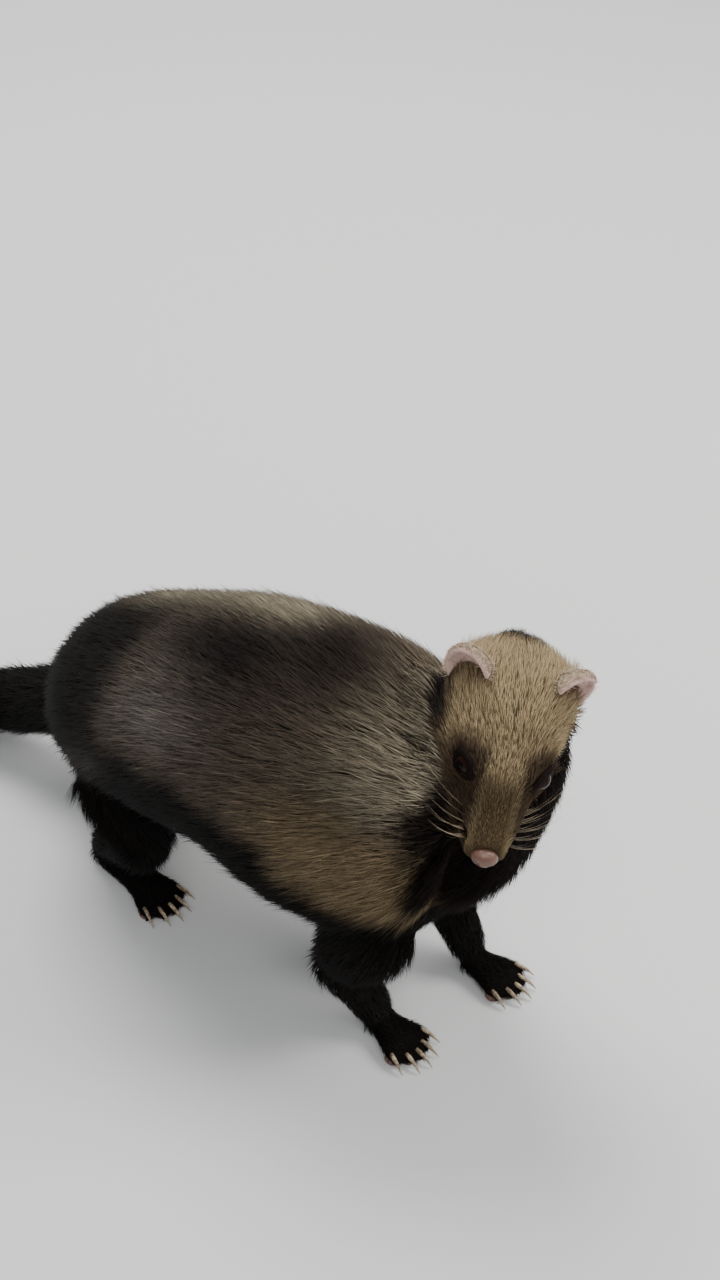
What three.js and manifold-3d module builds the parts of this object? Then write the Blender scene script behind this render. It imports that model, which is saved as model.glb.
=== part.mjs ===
// A life-size ferret standing with an arched back, its neck raised and its face turned down to the right.
// Millimetres, +Z up. The ferret walks towards +X, and its left side is towards +Y.
import * as THREE from "three";
import { mergeVertices } from "three/addons/utils/BufferGeometryUtils.js";
import Module from "manifold-3d";

const wasm = await Module();
wasm.setup();

// Driving dimensions. Every width and depth is half of the full size and takes in the coat.
const GAP = 0.3; // what two nodes that meet keep between them
const FAR = 400; // longer than the whole ferret, for the halves of space that cut it
const SOLE = 1.2; // how much of each foot's rounded underside is worn flat by the floor
const CAP = 0.35; // how far a limb's rounded end stands out, against its smaller half size
const UP = [0, 0, 1];
const DOWN = [0, 0, -1];
const AHEAD = [1, 0, 0];
const SIDES = { left: 1, right: -1 };

// Facets of each rounded form: round it, then along it.
const FACETS = {
  trunk: [28, 30],
  neck: [20, 14],
  tail: [14, 22],
  skull: [24, 22],
  jaw: [14, 12],
  lips: [5, 22],
  lids: [6, 16],
  ball: [14, 10],
  ear: [16, 10],
  nostril: [7, 5],
  upperLeg: [14, 10],
  lowerLeg: [12, 10],
  pad: [10, 8],
  toe: [6, 6],
  nail: [4, 4],
};

// Trunk stations from the tail's root to the front of the chest: centre, half width, half depth.
const TRUNK = [
  { at: [-102, 4, 48], wide: 9, deep: 9 },
  { at: [-95, 4, 52], wide: 23, deep: 22 },
  { at: [-82, 3, 59], wide: 34, deep: 33 },
  { at: [-61, 0, 70], wide: 40.5, deep: 40 },
  { at: [-31, -2, 82], wide: 43, deep: 44 },
  { at: [0, -3, 91], wide: 45.5, deep: 48 },
  { at: [30, -2, 90], wide: 47, deep: 52 },
  { at: [54, 4, 84], wide: 43.5, deep: 50 },
  { at: [71, 9, 76], wide: 33, deep: 38 },
  { at: [81, 11, 73], wide: 13, deep: 16 },
];
const HIPS_END = { at: [-50, -1, 74], ahead: [0.93, -0.06, 0.37] };
const CHEST_START = { at: [18, -3, 86], ahead: [0.97, 0.03, -0.24] };

// Neck stations, from inside the chest up to the back of the skull.
const NECK = [
  { at: [52, 4, 72], wide: 20, deep: 22 },
  { at: [62, 8, 82], wide: 29, deep: 30 },
  { at: [70, 13, 97], wide: 27, deep: 28 },
  { at: [75, 18, 112], wide: 24, deep: 24.5 },
  { at: [78, 21, 126], wide: 20, deep: 20 },
  { at: [79, 22, 135], wide: 9, deep: 9 },
];

// Tail stations from inside the rump to the tip, which hangs clear of the floor.
const TAIL = [
  { at: [-88, 4, 54], wide: 8, deep: 8 },
  { at: [-100, 4, 47], wide: 13, deep: 13 },
  { at: [-118, 3, 36], wide: 14.5, deep: 14 },
  { at: [-138, -1, 26], wide: 14, deep: 13.5 },
  { at: [-159, -8, 19.5], wide: 12.5, deep: 12 },
  { at: [-179, -17, 15.5], wide: 10.5, deep: 9.8 },
  { at: [-197, -27, 13], wide: 6.5, deep: 6.2 },
  { at: [-209, -35, 12.5], wide: 1.2, deep: 1.2 },
];
const TAIL_CUTS = [
  { at: [-131, 0.5, 29], ahead: [-0.86, -0.17, -0.48] },
  { at: [-167, -11, 17.8], ahead: [-0.88, -0.4, -0.24] },
];

// Where the head is carried and how it turns, in degrees: to its right, nose down, and leaning to its left.
const HEAD = { at: [77, 21, 136.5], yaw: -62, nod: 33, lean: -17 };

// Head stations in the head's own frame, nose towards +X and crown towards +Z.
// Skull, cheeks and upper muzzle:
const SKULL = [
  { at: [-19, 0, -3], wide: 6, deep: 6 },
  { at: [-14, 0, -2.5], wide: 15, deep: 13.5 },
  { at: [-6, 0, -2], wide: 20, deep: 17 },
  { at: [4, 0, -1.5], wide: 21.6, deep: 18 },
  { at: [14, 0, -1.5], wide: 19.8, deep: 16.6 },
  { at: [23, 0, -1.8], wide: 16, deep: 13.8 },
  { at: [31, 0, -2.6], wide: 12.4, deep: 10.6 },
  { at: [39, 0, -3.6], wide: 10.6, deep: 8.8 },
  { at: [46, 0, -4.2], wide: 9.2, deep: 7.4 },
  { at: [50, 0, -4.2], wide: 6.4, deep: 5.2 },
  { at: [52, 0, -4.2], wide: 2.4, deep: 2 },
];

// Lower jaw, chin and throat.
const JAW = [
  { at: [-6, 0, -14], wide: 9.5, deep: 6 },
  { at: [6, 0, -14.5], wide: 14.5, deep: 7.5 },
  { at: [18, 0, -13.8], wide: 12, deep: 6.5 },
  { at: [30, 0, -12.6], wide: 9, deep: 5 },
  { at: [40, 0, -11.6], wide: 7.4, deep: 4.2 },
  { at: [45.5, 0, -11], wide: 5.6, deep: 3.4 },
  { at: [48.4, 0, -10.6], wide: 2, deep: 1.4 },
];

// The line between the lips, from the left corner of the mouth to under the nose. The other half is mirrored.
const LIPS = [
  [22, 12.2, -11.2],
  [31, 9.4, -9.9],
  [40, 8, -9.2],
  [46, 6.9, -8.8],
  [49.6, 3.9, -8.5],
];
const LIPS_MIDDLE = [51.2, 0, -8.1];
const LIPS_GROOVE = 0.8;

const EYE = {
  at: [24.5, 11, 4.8], // centre of the left eyeball
  radius: 3.9,
  look: [0.5, 0.78, 0.36],
  opening: 3.5, // radius of the ring that the lids make
  lid: 1.15,
  almond: 1.12, // how much longer than high the lids' ring is
  lidAhead: 0.42, // how far in front of the eye's centre the lids stand, against its radius
};
const EAR = {
  at: [-2.5, 16, 8],
  depth: 5.2,
  width: 8.2,
  height: 9.4,
  wall: 1.3,
  hollow: 1.95, // how far ahead of the ear's middle its hollow is centred
  lip: 1.56, // how far ahead of the ear's middle its open edge stands
  look: [0.74, 0.52, 0.3],
  rise: [-0.3, 0.38, 0.87],
};
const NOSE = {
  at: [50.6, 0, -2],
  length: 3.2,
  width: 4.2,
  height: 3.2,
  nostrils: [
    { at: [53.3, 1.55, -2.3], wide: 1.2, deep: 1.15 }, // open ahead
    { at: [52, 3.7, -1.5], wide: 0.7, deep: 0.55 }, // slit towards the side
  ],
};

// Legs from inside the body down: thigh or upper arm, then shank or forearm. All are the right side's;
// a left leg is the same mirrored and moved by the amount in "step".
const FORE = {
  upper: [
    { at: [60, -12, 60], wide: 12, deep: 13 },
    { at: [57, -20, 50], wide: 15, deep: 17 },
    { at: [50, -24, 40], wide: 13.5, deep: 15.5 },
    { at: [44, -25, 33], wide: 8, deep: 9 },
  ],
  lower: [
    { at: [44, -25, 35], wide: 8, deep: 8.5 },
    { at: [46, -24.5, 28], wide: 10.5, deep: 11.5 },
    { at: [52, -23, 19], wide: 8.6, deep: 9 },
    { at: [58, -21.5, 10.5], wide: 7.4, deep: 7.4 },
    { at: [61, -21, 7], wide: 4, deep: 4 },
  ],
  foot: {
    at: [58, -21],
    turn: -4,
    heel: 2,
    sole: 14,
    width: 7.8,
    height: 5.6,
    toe: 9.5,
    toeRadius: 2.9,
    claw: 4.5,
  },
  step: [9, 0],
};
const HIND = {
  upper: [
    { at: [-70, -15, 62], wide: 14, deep: 14 },
    { at: [-63, -21, 51], wide: 17.5, deep: 21 },
    { at: [-53, -25.5, 40], wide: 15.5, deep: 18.5 },
    { at: [-42, -28, 32], wide: 10.5, deep: 11.5 },
    { at: [-37, -29, 29], wide: 5, deep: 5 },
  ],
  lower: [
    { at: [-40, -29, 32], wide: 8, deep: 8 },
    { at: [-46, -29, 28], wide: 11, deep: 11.5 },
    { at: [-58, -28, 20], wide: 9, deep: 9.5 },
    { at: [-69, -27, 12], wide: 6.8, deep: 7 },
    { at: [-73, -26.6, 9], wide: 4, deep: 4 },
  ],
  foot: {
    at: [-70, -27],
    turn: -5,
    heel: 5,
    sole: 31,
    width: 8,
    height: 6,
    toe: 11,
    toeRadius: 3.1,
    claw: 4.6,
  },
  step: [-7, 0],
};
const TOES = [-1, -0.5, 0, 0.5, 1]; // where each toe stands across the foot
const TOE_SPREAD = 16; // degrees that the outer toes turn away from the middle one
const TOE_SETBACK = 4.5; // how far the outer toes start behind the middle one
const TOE_START = 0.92; // where the middle toe starts, as a share of the sole
const TOE_INSET = 0.75; // how far the outer toes start inside the foot's edge, against their radius

// The pad's stations: where they are, as shares of the heel and of the sole, and their rise and half sizes,
// as shares of the foot's height and width.
const PAD = [
  { heel: 1, sole: 0, rise: 1, wide: 0.55, deep: 0.6 },
  { heel: 0.4, sole: 0, rise: 1, wide: 0.78, deep: 1 },
  { heel: 0, sole: 0.5, rise: 1, wide: 0.82, deep: 1 },
  { heel: 0, sole: 0.85, rise: 0.9, wide: 1, deep: 0.9 },
  { heel: 0, sole: 1, rise: 0.8, wide: 0.8, deep: 0.55 },
];

// A toe's stations: where they are, as shares of its length, and the rest as shares of its radius.
const TOE = [
  { toe: -0.2, rise: 1.1, wide: 0.7, deep: 0.7 },
  { toe: 0.35, rise: 1.25, wide: 0.92, deep: 1 },
  { toe: 0.8, rise: 0.76, wide: 1, deep: 1 },
  { toe: 1, rise: 0.76, wide: 0.6, deep: 0.6 },
];

// A claw's stations: shares of the toe and of the claw, rise against the toe's radius, and half sizes.
const CLAW = [
  { toe: 0.7, claw: 0, rise: 1.3, wide: 1, deep: 1.3 },
  { toe: 1, claw: 0.45, rise: 0.95, wide: 0.8, deep: 1.1 },
  { toe: 1, claw: 1, rise: 0.3, wide: 0.25, deep: 0.35 },
];

const COLOURS = {
  sable: "#2b211c",
  flank: "#6b5a49",
  cream: "#a8926c",
  dark: "#15110f",
  eye: "#0b0706",
  nose: "#6d4c41",
  ear: "#a98c7e",
};
const ROUGHNESS = { eye: 0.08, nose: 0.4, ear: 0.7 };

const finishes = Object.fromEntries(
  Object.entries(COLOURS).map(([name, color]) => {
    const roughness = ROUGHNESS[name] ?? 0.85;
    const finish = new THREE.MeshStandardMaterial({ color, roughness, metalness: 0 });
    finish.name = name;
    return [name, finish];
  }),
);

// A three.js geometry as a solid for joining and cutting.
function solid(geometry) {
  const bare = geometry.clone();
  bare.deleteAttribute("normal");
  bare.deleteAttribute("uv");
  const merged = mergeVertices(bare, 1e-4);
  return new wasm.Manifold(
    new wasm.Mesh({
      numProp: 3,
      vertProperties: new Float32Array(merged.attributes.position.array),
      triVerts: new Uint32Array(merged.index.array),
    }),
  );
}

// The largest closed piece of a solid, as a three.js geometry.
function geometry(body) {
  const pieces = body.decompose().sort((a, b) => b.volume() - a.volume());
  const mesh = pieces[0].getMesh();
  const made = new THREE.BufferGeometry();
  made.setAttribute("position", new THREE.BufferAttribute(new Float32Array(mesh.vertProperties), 3));
  made.setIndex(new THREE.BufferAttribute(new Uint32Array(mesh.triVerts), 1));
  made.computeVertexNormals();
  return made;
}

const join = (...bodies) => bodies.reduce((whole, body) => whole.add(body));
const mirrored = (point, side) => [point[0], side * point[1], point[2]];

// A node: one closed solid with its name and its finish.
function addNode(parent, name, body, finish) {
  const mesh = new THREE.Mesh(geometry(body), finishes[finish]);
  mesh.name = name;
  parent.add(mesh);
}

// Half of space as a big box: all that lies beyond a point in a direction.
function beyond({ at, ahead }, margin = 0) {
  const along = new THREE.Vector3(...ahead).normalize();
  const box = new THREE.BoxGeometry(2 * FAR, 2 * FAR, FAR);
  box.translate(0, 0, FAR / 2 + margin);
  box.applyQuaternion(new THREE.Quaternion().setFromUnitVectors(new THREE.Vector3(...UP), along));
  box.translate(...at);
  return solid(box);
}

// A rounded body swept along its stations: a sphere whose rings are carried by the curve through the centres.
// deepAxis is the direction that each section's depth is measured along, and grow thickens it all round.
function limb(stations, deepAxis, [around, along], grow = 0) {
  const centres = new THREE.CatmullRomCurve3(
    stations.map((station) => new THREE.Vector3(...station.at)),
    false,
    "centripetal",
  );
  const sizes = new THREE.CatmullRomCurve3(
    stations.map((station, i) => new THREE.Vector3(station.wide, station.deep, i)),
    false,
    "centripetal",
  );
  const shape = new THREE.SphereGeometry(1, around, along);
  const position = shape.attributes.position;
  const deep = new THREE.Vector3(...deepAxis);
  for (let i = 0; i < position.count; i++) {
    const ring = Math.round((Math.acos(THREE.MathUtils.clamp(position.getY(i), -1, 1)) / Math.PI) * along);
    const t = THREE.MathUtils.clamp((ring - 1) / (along - 2), 0, 1);
    const centre = centres.getPoint(t);
    const size = sizes.getPoint(t);
    const forward = centres.getTangent(t);
    const side = new THREE.Vector3().crossVectors(deep, forward).normalize();
    const back = new THREE.Vector3().crossVectors(forward, side);
    if (ring === 0 || ring === along) {
      const cap = CAP * Math.min(size.x, size.y) + grow;
      centre.addScaledVector(forward, ring === 0 ? -cap : cap);
    } else {
      const turn = Math.atan2(position.getZ(i), position.getX(i));
      centre.addScaledVector(side, (size.x + grow) * Math.cos(turn));
      centre.addScaledVector(back, (size.y + grow) * Math.sin(turn));
    }
    position.setXYZ(i, centre.x, centre.y, centre.z);
  }
  return shape;
}
const limbSolid = (...settings) => solid(limb(...settings));

// A ball stretched along its own three axes.
function ball(centre, radii, facets = FACETS.ball, turn = new THREE.Quaternion()) {
  const shape = new THREE.SphereGeometry(1, ...facets);
  shape.scale(...radii);
  shape.applyQuaternion(turn);
  shape.translate(...centre);
  return solid(shape);
}

// The turn that brings +X onto one direction and +Z as near as it goes to another.
function facing(look, rise) {
  const x = new THREE.Vector3(...look).normalize();
  const y = new THREE.Vector3().crossVectors(new THREE.Vector3(...rise), x).normalize();
  const z = new THREE.Vector3().crossVectors(x, y);
  return new THREE.Quaternion().setFromRotationMatrix(new THREE.Matrix4().makeBasis(x, y, z));
}

// Trunk: one swept body parted into hips, loin and chest across the line of the back.
const trunk = (grow = 0) => limbSolid(TRUNK, UP, FACETS.trunk, grow);

function addTrunk(parent, headSpace) {
  const whole = trunk().subtract(headSpace);
  const pastHips = whole.intersect(beyond(HIPS_END, GAP));
  addNode(parent, "hips", whole.subtract(beyond(HIPS_END)), "sable");
  addNode(parent, "loin", pastHips.subtract(beyond(CHEST_START)), "flank");
  addNode(parent, "chest", whole.intersect(beyond(CHEST_START, GAP)), "flank");
}

// Tail: cut clear of the rump and parted into three lengths.
function addTail(parent, trunkRoom) {
  const whole = limbSolid(TAIL, UP, FACETS.tail).subtract(trunkRoom);
  const [first, second] = TAIL_CUTS;
  addNode(parent, "tail_root", whole.subtract(beyond(first)), "dark");
  addNode(parent, "tail_middle", whole.intersect(beyond(first, GAP)).subtract(beyond(second)), "dark");
  addNode(parent, "tail_tip", whole.intersect(beyond(second, GAP)), "dark");
}

// The frame that carries the head and everything on it.
function headFrame() {
  const { lean, nod, yaw } = HEAD;
  const frame = new THREE.Group();
  frame.position.set(...HEAD.at);
  frame.rotation.order = "ZYX";
  frame.rotation.set(...[lean, nod, yaw].map(THREE.MathUtils.degToRad));
  frame.updateMatrix();
  return frame;
}

// Skull, cheeks, muzzle and lower jaw, as geometries in the head's own frame.
const headShapes = (grow = 0) => [
  limb(SKULL, UP, FACETS.skull, grow),
  limb(JAW, UP, FACETS.jaw, grow),
];
const headCore = (grow = 0) => join(...headShapes(grow).map(solid));

// The groove between the lips: a thin tube from one corner of the mouth round the front to the other.
function mouthGroove() {
  const path = [...LIPS, LIPS_MIDDLE, ...LIPS.map((point) => mirrored(point, -1)).reverse()];
  const stations = path.map((at) => ({ at, wide: LIPS_GROOVE, deep: LIPS_GROOVE }));
  return limbSolid(stations, UP, FACETS.lips);
}

function eyeball(side, grow = 0) {
  const radius = EYE.radius + grow;
  return ball(mirrored(EYE.at, side), [radius, radius, radius]);
}

// Upper and lower lid as one rolled rim round the eye's opening, longer than it is high.
function lids(side) {
  const rim = new THREE.TorusGeometry(EYE.opening, EYE.lid, ...FACETS.lids);
  rim.rotateY(Math.PI / 2);
  rim.scale(1, EYE.almond, 1 / EYE.almond);
  rim.translate(EYE.radius * EYE.lidAhead, 0, 0);
  rim.applyQuaternion(facing(mirrored(EYE.look, side), UP));
  rim.translate(...mirrored(EYE.at, side));
  return solid(rim);
}

// An ear: a shallow round cup that opens ahead and outwards.
function ear(side) {
  const look = mirrored(EAR.look, side);
  const turn = facing(look, mirrored(EAR.rise, side));
  const centre = new THREE.Vector3(...mirrored(EAR.at, side));
  const ahead = new THREE.Vector3(...look).normalize();
  const hollow = centre.clone().addScaledVector(ahead, EAR.hollow);
  const lip = centre.clone().addScaledVector(ahead, EAR.lip);
  const sizes = [EAR.depth, EAR.width, EAR.height];
  const outer = ball(centre, sizes, FACETS.ear, turn);
  const inner = ball(hollow, sizes.map((size) => size - EAR.wall), FACETS.ear, turn);
  return outer.subtract(inner).subtract(beyond({ at: lip.toArray(), ahead: look }));
}

// The nose pad with its two nostrils, each open ahead and slit towards its side.
function nosePad() {
  const { at, length, width, height, nostrils } = NOSE;
  const hole = (side) => {
    const stations = nostrils.map((station) => ({ ...station, at: mirrored(station.at, side) }));
    return limbSolid(stations, UP, FACETS.nostril);
  };
  return ball(at, [length, width, height]).subtract(join(hole(1), hole(-1)));
}

function addHead(parent) {
  const { at, length, width, height } = NOSE;
  const padRoom = ball(at, [length + GAP, width + GAP, height + GAP]);
  const openings = join(eyeball(1, GAP), eyeball(-1, GAP), padRoom, mouthGroove());
  const room = headCore(GAP);
  addNode(parent, "head", join(headCore(), lids(1), lids(-1)).subtract(openings), "cream");
  addNode(parent, "nose", nosePad(), "nose");
  for (const [name, side] of Object.entries(SIDES)) {
    addNode(parent, `eye_${name}`, eyeball(side), "eye");
    addNode(parent, `ear_${name}`, ear(side).subtract(room), "ear");
  }
}

// What the head and the ears take out of the neck and the shoulders, in the ferret's frame.
function headRoom(frame) {
  const shapes = headShapes(GAP).map((shape) => solid(shape.applyMatrix4(frame.matrix)));
  const ears = Object.values(SIDES).map((side) => {
    const turn = facing(mirrored(EAR.look, side), mirrored(EAR.rise, side));
    const shape = new THREE.SphereGeometry(1, ...FACETS.ear);
    shape.scale(EAR.depth + GAP, EAR.width + GAP, EAR.height + GAP);
    shape.applyQuaternion(turn);
    shape.translate(...mirrored(EAR.at, side));
    return solid(shape.applyMatrix4(frame.matrix));
  });
  return join(...shapes, ...ears);
}

// A foot with its sole on the floor: the pad, five toes and their claws.
function foot(plan, side, step) {
  const { at, turn, heel, sole, width, height, toe, toeRadius, claw } = plan;
  const placed = new THREE.Matrix4().makeRotationZ(THREE.MathUtils.degToRad(-side * turn));
  placed.setPosition(at[0] + step[0], -side * at[1] + step[1], 0);
  const put = (x, y, z) => new THREE.Vector3(x, y, z).applyMatrix4(placed).toArray();
  const pad = PAD.map((station) => ({
    at: put(station.sole * sole - station.heel * heel, 0, station.rise * (height - SOLE)),
    wide: station.wide * width,
    deep: station.deep * height,
  }));
  const pieces = [limbSolid(pad, UP, FACETS.pad)];
  for (const across of TOES) {
    const splay = THREE.MathUtils.degToRad(across * TOE_SPREAD);
    const startX = sole * TOE_START - TOE_SETBACK * across * across;
    const startY = across * (width - toeRadius * TOE_INSET);
    const along = (distance, rise) =>
      put(startX + distance * Math.cos(splay), startY + distance * Math.sin(splay), rise * toeRadius);
    const digit = TOE.map((station) => ({
      at: along(station.toe * toe, station.rise),
      wide: station.wide * toeRadius,
      deep: station.deep * toeRadius,
    }));
    const nail = CLAW.map((station) => ({
      at: along(station.toe * toe + station.claw * claw, station.rise),
      wide: station.wide,
      deep: station.deep,
    }));
    pieces.push(limbSolid(digit, UP, FACETS.toe), limbSolid(nail, UP, FACETS.nail));
  }
  return join(...pieces).subtract(beyond({ at: [0, 0, 0], ahead: DOWN }));
}

// One leg: its two lengths and its foot, each cut clear of what it hangs from.
// A left leg is the right one mirrored, and its foot stands further ahead or back by the leg's step.
function addLeg(parent, names, plan, side, bodyRoom) {
  const step = side === SIDES.left ? plan.step : [0, 0];
  const moved = (stations, from, to) =>
    stations.map(({ at: [x, y, z], wide, deep }, i) => {
      const share = from + ((to - from) * i) / (stations.length - 1);
      return { at: [x + step[0] * share, -side * y + step[1] * share, z], wide, deep };
    });
  const upper = moved(plan.upper, 0, 0.5);
  const lower = moved(plan.lower, 0.5, 1);
  const upperRoom = limbSolid(upper, AHEAD, FACETS.upperLeg, GAP);
  const lowerRoom = limbSolid(lower, AHEAD, FACETS.lowerLeg, GAP);
  const bodyAndUpper = join(bodyRoom, upperRoom);
  addNode(parent, names[0], limbSolid(upper, AHEAD, FACETS.upperLeg).subtract(bodyRoom), "dark");
  addNode(parent, names[1], limbSolid(lower, AHEAD, FACETS.lowerLeg).subtract(bodyAndUpper), "dark");
  addNode(parent, names[2], foot(plan.foot, side, step).subtract(lowerRoom), "dark");
}

const ferret = new THREE.Group();
ferret.name = "ferret";
const head = headFrame();
head.name = "head_frame";
ferret.add(head);

const trunkRoom = trunk(GAP);
const headSpace = headRoom(head);
addTrunk(ferret, headSpace);
addTail(ferret, trunkRoom);
addHead(head);
const neck = limbSolid(NECK, AHEAD, FACETS.neck).subtract(join(trunkRoom, headSpace));
addNode(ferret, "neck", neck, "dark");
for (const [name, side] of Object.entries(SIDES)) {
  addLeg(ferret, [`upper_arm_${name}`, `forearm_${name}`, `forepaw_${name}`], FORE, side, trunkRoom);
  addLeg(ferret, [`thigh_${name}`, `shank_${name}`, `hindpaw_${name}`], HIND, side, trunkRoom);
}

// The origin goes under the middle of the ferret, on the floor.
ferret.updateMatrixWorld(true);
const box = new THREE.Box3().setFromObject(ferret, true);
const middle = box.getCenter(new THREE.Vector3());
ferret.position.set(-middle.x, -middle.y, -box.min.z);
ferret.updateMatrixWorld(true);

export default ferret;
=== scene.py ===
"""A life-size ferret in its coat, standing with an arched back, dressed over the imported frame.

Sizes are in millimetres in the frame that the body was drawn in, and MM turns them into Blender's metres.
"""

import logging
import math
from dataclasses import dataclass, replace
from enum import Enum

import bmesh
import bpy
import numpy as np
from bmesh.types import BMesh
from bpy.types import Material, Mesh, Node, NodeSocket, Object
from mathutils import Matrix, Vector


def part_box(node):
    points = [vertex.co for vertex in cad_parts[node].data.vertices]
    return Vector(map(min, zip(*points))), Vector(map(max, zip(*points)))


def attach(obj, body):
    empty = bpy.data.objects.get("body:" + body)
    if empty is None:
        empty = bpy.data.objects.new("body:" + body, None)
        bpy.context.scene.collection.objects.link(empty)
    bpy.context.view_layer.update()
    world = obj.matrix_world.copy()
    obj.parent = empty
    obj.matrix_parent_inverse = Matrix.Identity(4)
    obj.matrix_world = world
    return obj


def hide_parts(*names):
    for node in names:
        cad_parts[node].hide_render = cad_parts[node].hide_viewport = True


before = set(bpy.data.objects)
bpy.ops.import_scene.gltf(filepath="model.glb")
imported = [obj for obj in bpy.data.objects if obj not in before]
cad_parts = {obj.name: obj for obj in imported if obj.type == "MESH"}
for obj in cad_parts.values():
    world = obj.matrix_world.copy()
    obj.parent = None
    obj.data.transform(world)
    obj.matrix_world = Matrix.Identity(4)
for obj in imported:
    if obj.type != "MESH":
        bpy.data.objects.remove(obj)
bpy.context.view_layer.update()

Array = np.ndarray
Point = tuple[float, float, float]

MM = 0.001
SEED = 41
SIDES = {"left": 1.0, "right": -1.0}
UP = Vector((0, 0, 1))
COAT_COLOUR = "coat"
POINTS_AT_ONCE = 20000
LOG = logging.getLogger("ferret")


class Region(Enum):
    """The named parts of the body that the coat and its markings tell apart."""

    HEAD = "head"
    NECK = "neck"
    TRUNK = "trunk"
    TAIL = "tail"
    UPPER_LEG = "upper_leg"
    LOWER_LEG = "lower_leg"
    PAW = "paw"


def linear(code: str) -> Array:
    """Reads a hex colour as linear light.

    Args:
        code: six hex digits, as a painter's colour card gives them.

    Returns:
        The red, green and blue shares.
    """
    shares = np.array([int(code[i : i + 2], 16) / 255 for i in (0, 2, 4)])
    return np.where(shares <= 0.04045, shares / 12.92, ((shares + 0.055) / 1.055) ** 2.4)


def unit(vectors: Array) -> Array:
    """Scales each row to length one."""
    return vectors / np.maximum(np.linalg.norm(vectors, axis=-1, keepdims=True), 1e-9)


def smooth_step(value: Array, start: float, end: float) -> Array:
    """Rises softly from 0 at start to 1 at end, or falls where end is below start."""
    share = np.clip((value - start) / (end - start), 0.0, 1.0)
    return share * share * (3 - 2 * share)


@dataclass(frozen=True)
class Pose:
    """Where the head is carried, how it is turned, and where its eyes and ears sit."""

    at: Point = (77.0, 21.0, 136.5)
    yaw: float = -62.0
    nod: float = 33.0
    lean: float = -17.0
    eye: Point = (24.5, 11.0, 4.8)
    eye_look: Point = (0.5, 0.78, 0.36)
    eye_radius: float = 3.9
    ear_at: Point = (-2.5, 16.0, 8.0)
    ear_look: Point = (0.74, 0.52, 0.3)
    ear_rise: Point = (-0.3, 0.38, 0.87)

    def turn(self) -> Array:
        """Works out how the head is turned.

        Returns:
            Its three axes as the columns of a matrix.
        """
        turns = ((self.yaw, "Z"), (self.nod, "Y"), (self.lean, "X"))
        yaw, nod, lean = (Matrix.Rotation(math.radians(angle), 3, axis) for angle, axis in turns)
        return np.array(yaw @ nod @ lean)

    def matrix(self) -> Matrix:
        """Gives the head's own frame as a matrix in drawn millimetres."""
        return Matrix.Translation(self.at) @ Matrix(self.turn().tolist()).to_4x4()

    def place(self, points: Array) -> Array:
        """Moves points from the head's own frame into the drawn frame."""
        return np.asarray(points, float) @ self.turn().T + np.array(self.at)

    def local(self, places: Array) -> Array:
        """Moves points from the drawn frame into the head's own frame."""
        return (places - np.array(self.at)) @ self.turn()

    def folded(self, places: Array) -> Array:
        """Moves points from the drawn frame into the head's own, and onto its left half."""
        local = self.local(places)
        return local * [1, 0, 1] + np.abs(local) * [0, 1, 0]


HEAD = Pose()


def drawn_offset() -> Array:
    """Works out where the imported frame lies, from the middle of the two eyes.

    Returns:
        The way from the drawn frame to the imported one, in millimetres.
    """
    middles = [np.add(*map(np.array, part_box(f"eye_{side}"))) / 2 for side in SIDES]
    between = HEAD.place([HEAD.eye[0], 0.0, HEAD.eye[2]])
    return np.mean(middles, axis=0) / MM - between


OFFSET = drawn_offset()


def packed(points: Array) -> Array:
    """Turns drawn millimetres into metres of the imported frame."""
    return (np.asarray(points, float) + OFFSET) * MM


@dataclass(frozen=True)
class Station:
    """One place along a body run: its centre, its half size, and the coat's length and depth there."""

    at: Point
    radius: float
    length: float
    depth: float


Line = tuple[Station, ...]


def stations(*rows: tuple[float, ...]) -> Line:
    """Makes stations from rows of x, y, z, radius, length and depth."""
    return tuple(Station(row[:3], *row[3:]) for row in rows)


@dataclass(frozen=True)
class Run:
    """A length of the body whose coat lies from its first station to its last.

    Its chart is the part of the coat's map that it fills, as two opposite corners.
    """

    region: Region
    line: Line
    chart: tuple[float, float, float, float]

    def samples(self, count: int = 30) -> dict[str, Array]:
        """Reads the run at even steps.

        Args:
            count: how many places are read.

        Returns:
            Arrays of centre, lie, radius, length, depth and share along the run.
        """
        share = np.linspace(0, 1, count)
        knots = np.linspace(0, 1, len(self.line))
        centre = [np.interp(share, knots, [s.at[axis] for s in self.line]) for axis in range(3)]
        centre = np.stack(centre, axis=1)
        values = {
            name: np.interp(share, knots, [getattr(s, name) for s in self.line])
            for name in ("radius", "length", "depth")
        }
        return {"centre": centre, "lie": unit(np.gradient(centre, axis=0)), "share": share, **values}


def head_run() -> Run:
    """Builds the head's run, from the nose to the nape, in the drawn frame.

    Returns:
        The run.
    """
    local = stations(
        (51, 0, -5, 5.5, 1.4, 0.4),
        (44, 0, -5.5, 9.0, 2.0, 0.7),
        (34, 0, -5.5, 12.0, 2.6, 0.9),
        (24, 0, -5, 15.5, 3.4, 1.1),
        (12, 0, -4.5, 19.0, 4.4, 1.6),
        (0, 0, -4, 21.0, 5.6, 2.2),
        (-12, 0, -3, 18.0, 7.5, 3.0),
    )
    placed = tuple(replace(s, at=tuple(HEAD.place(s.at))) for s in local)
    return Run(Region.HEAD, placed, (0.50, 0.50, 0.74, 0.98))


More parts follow.
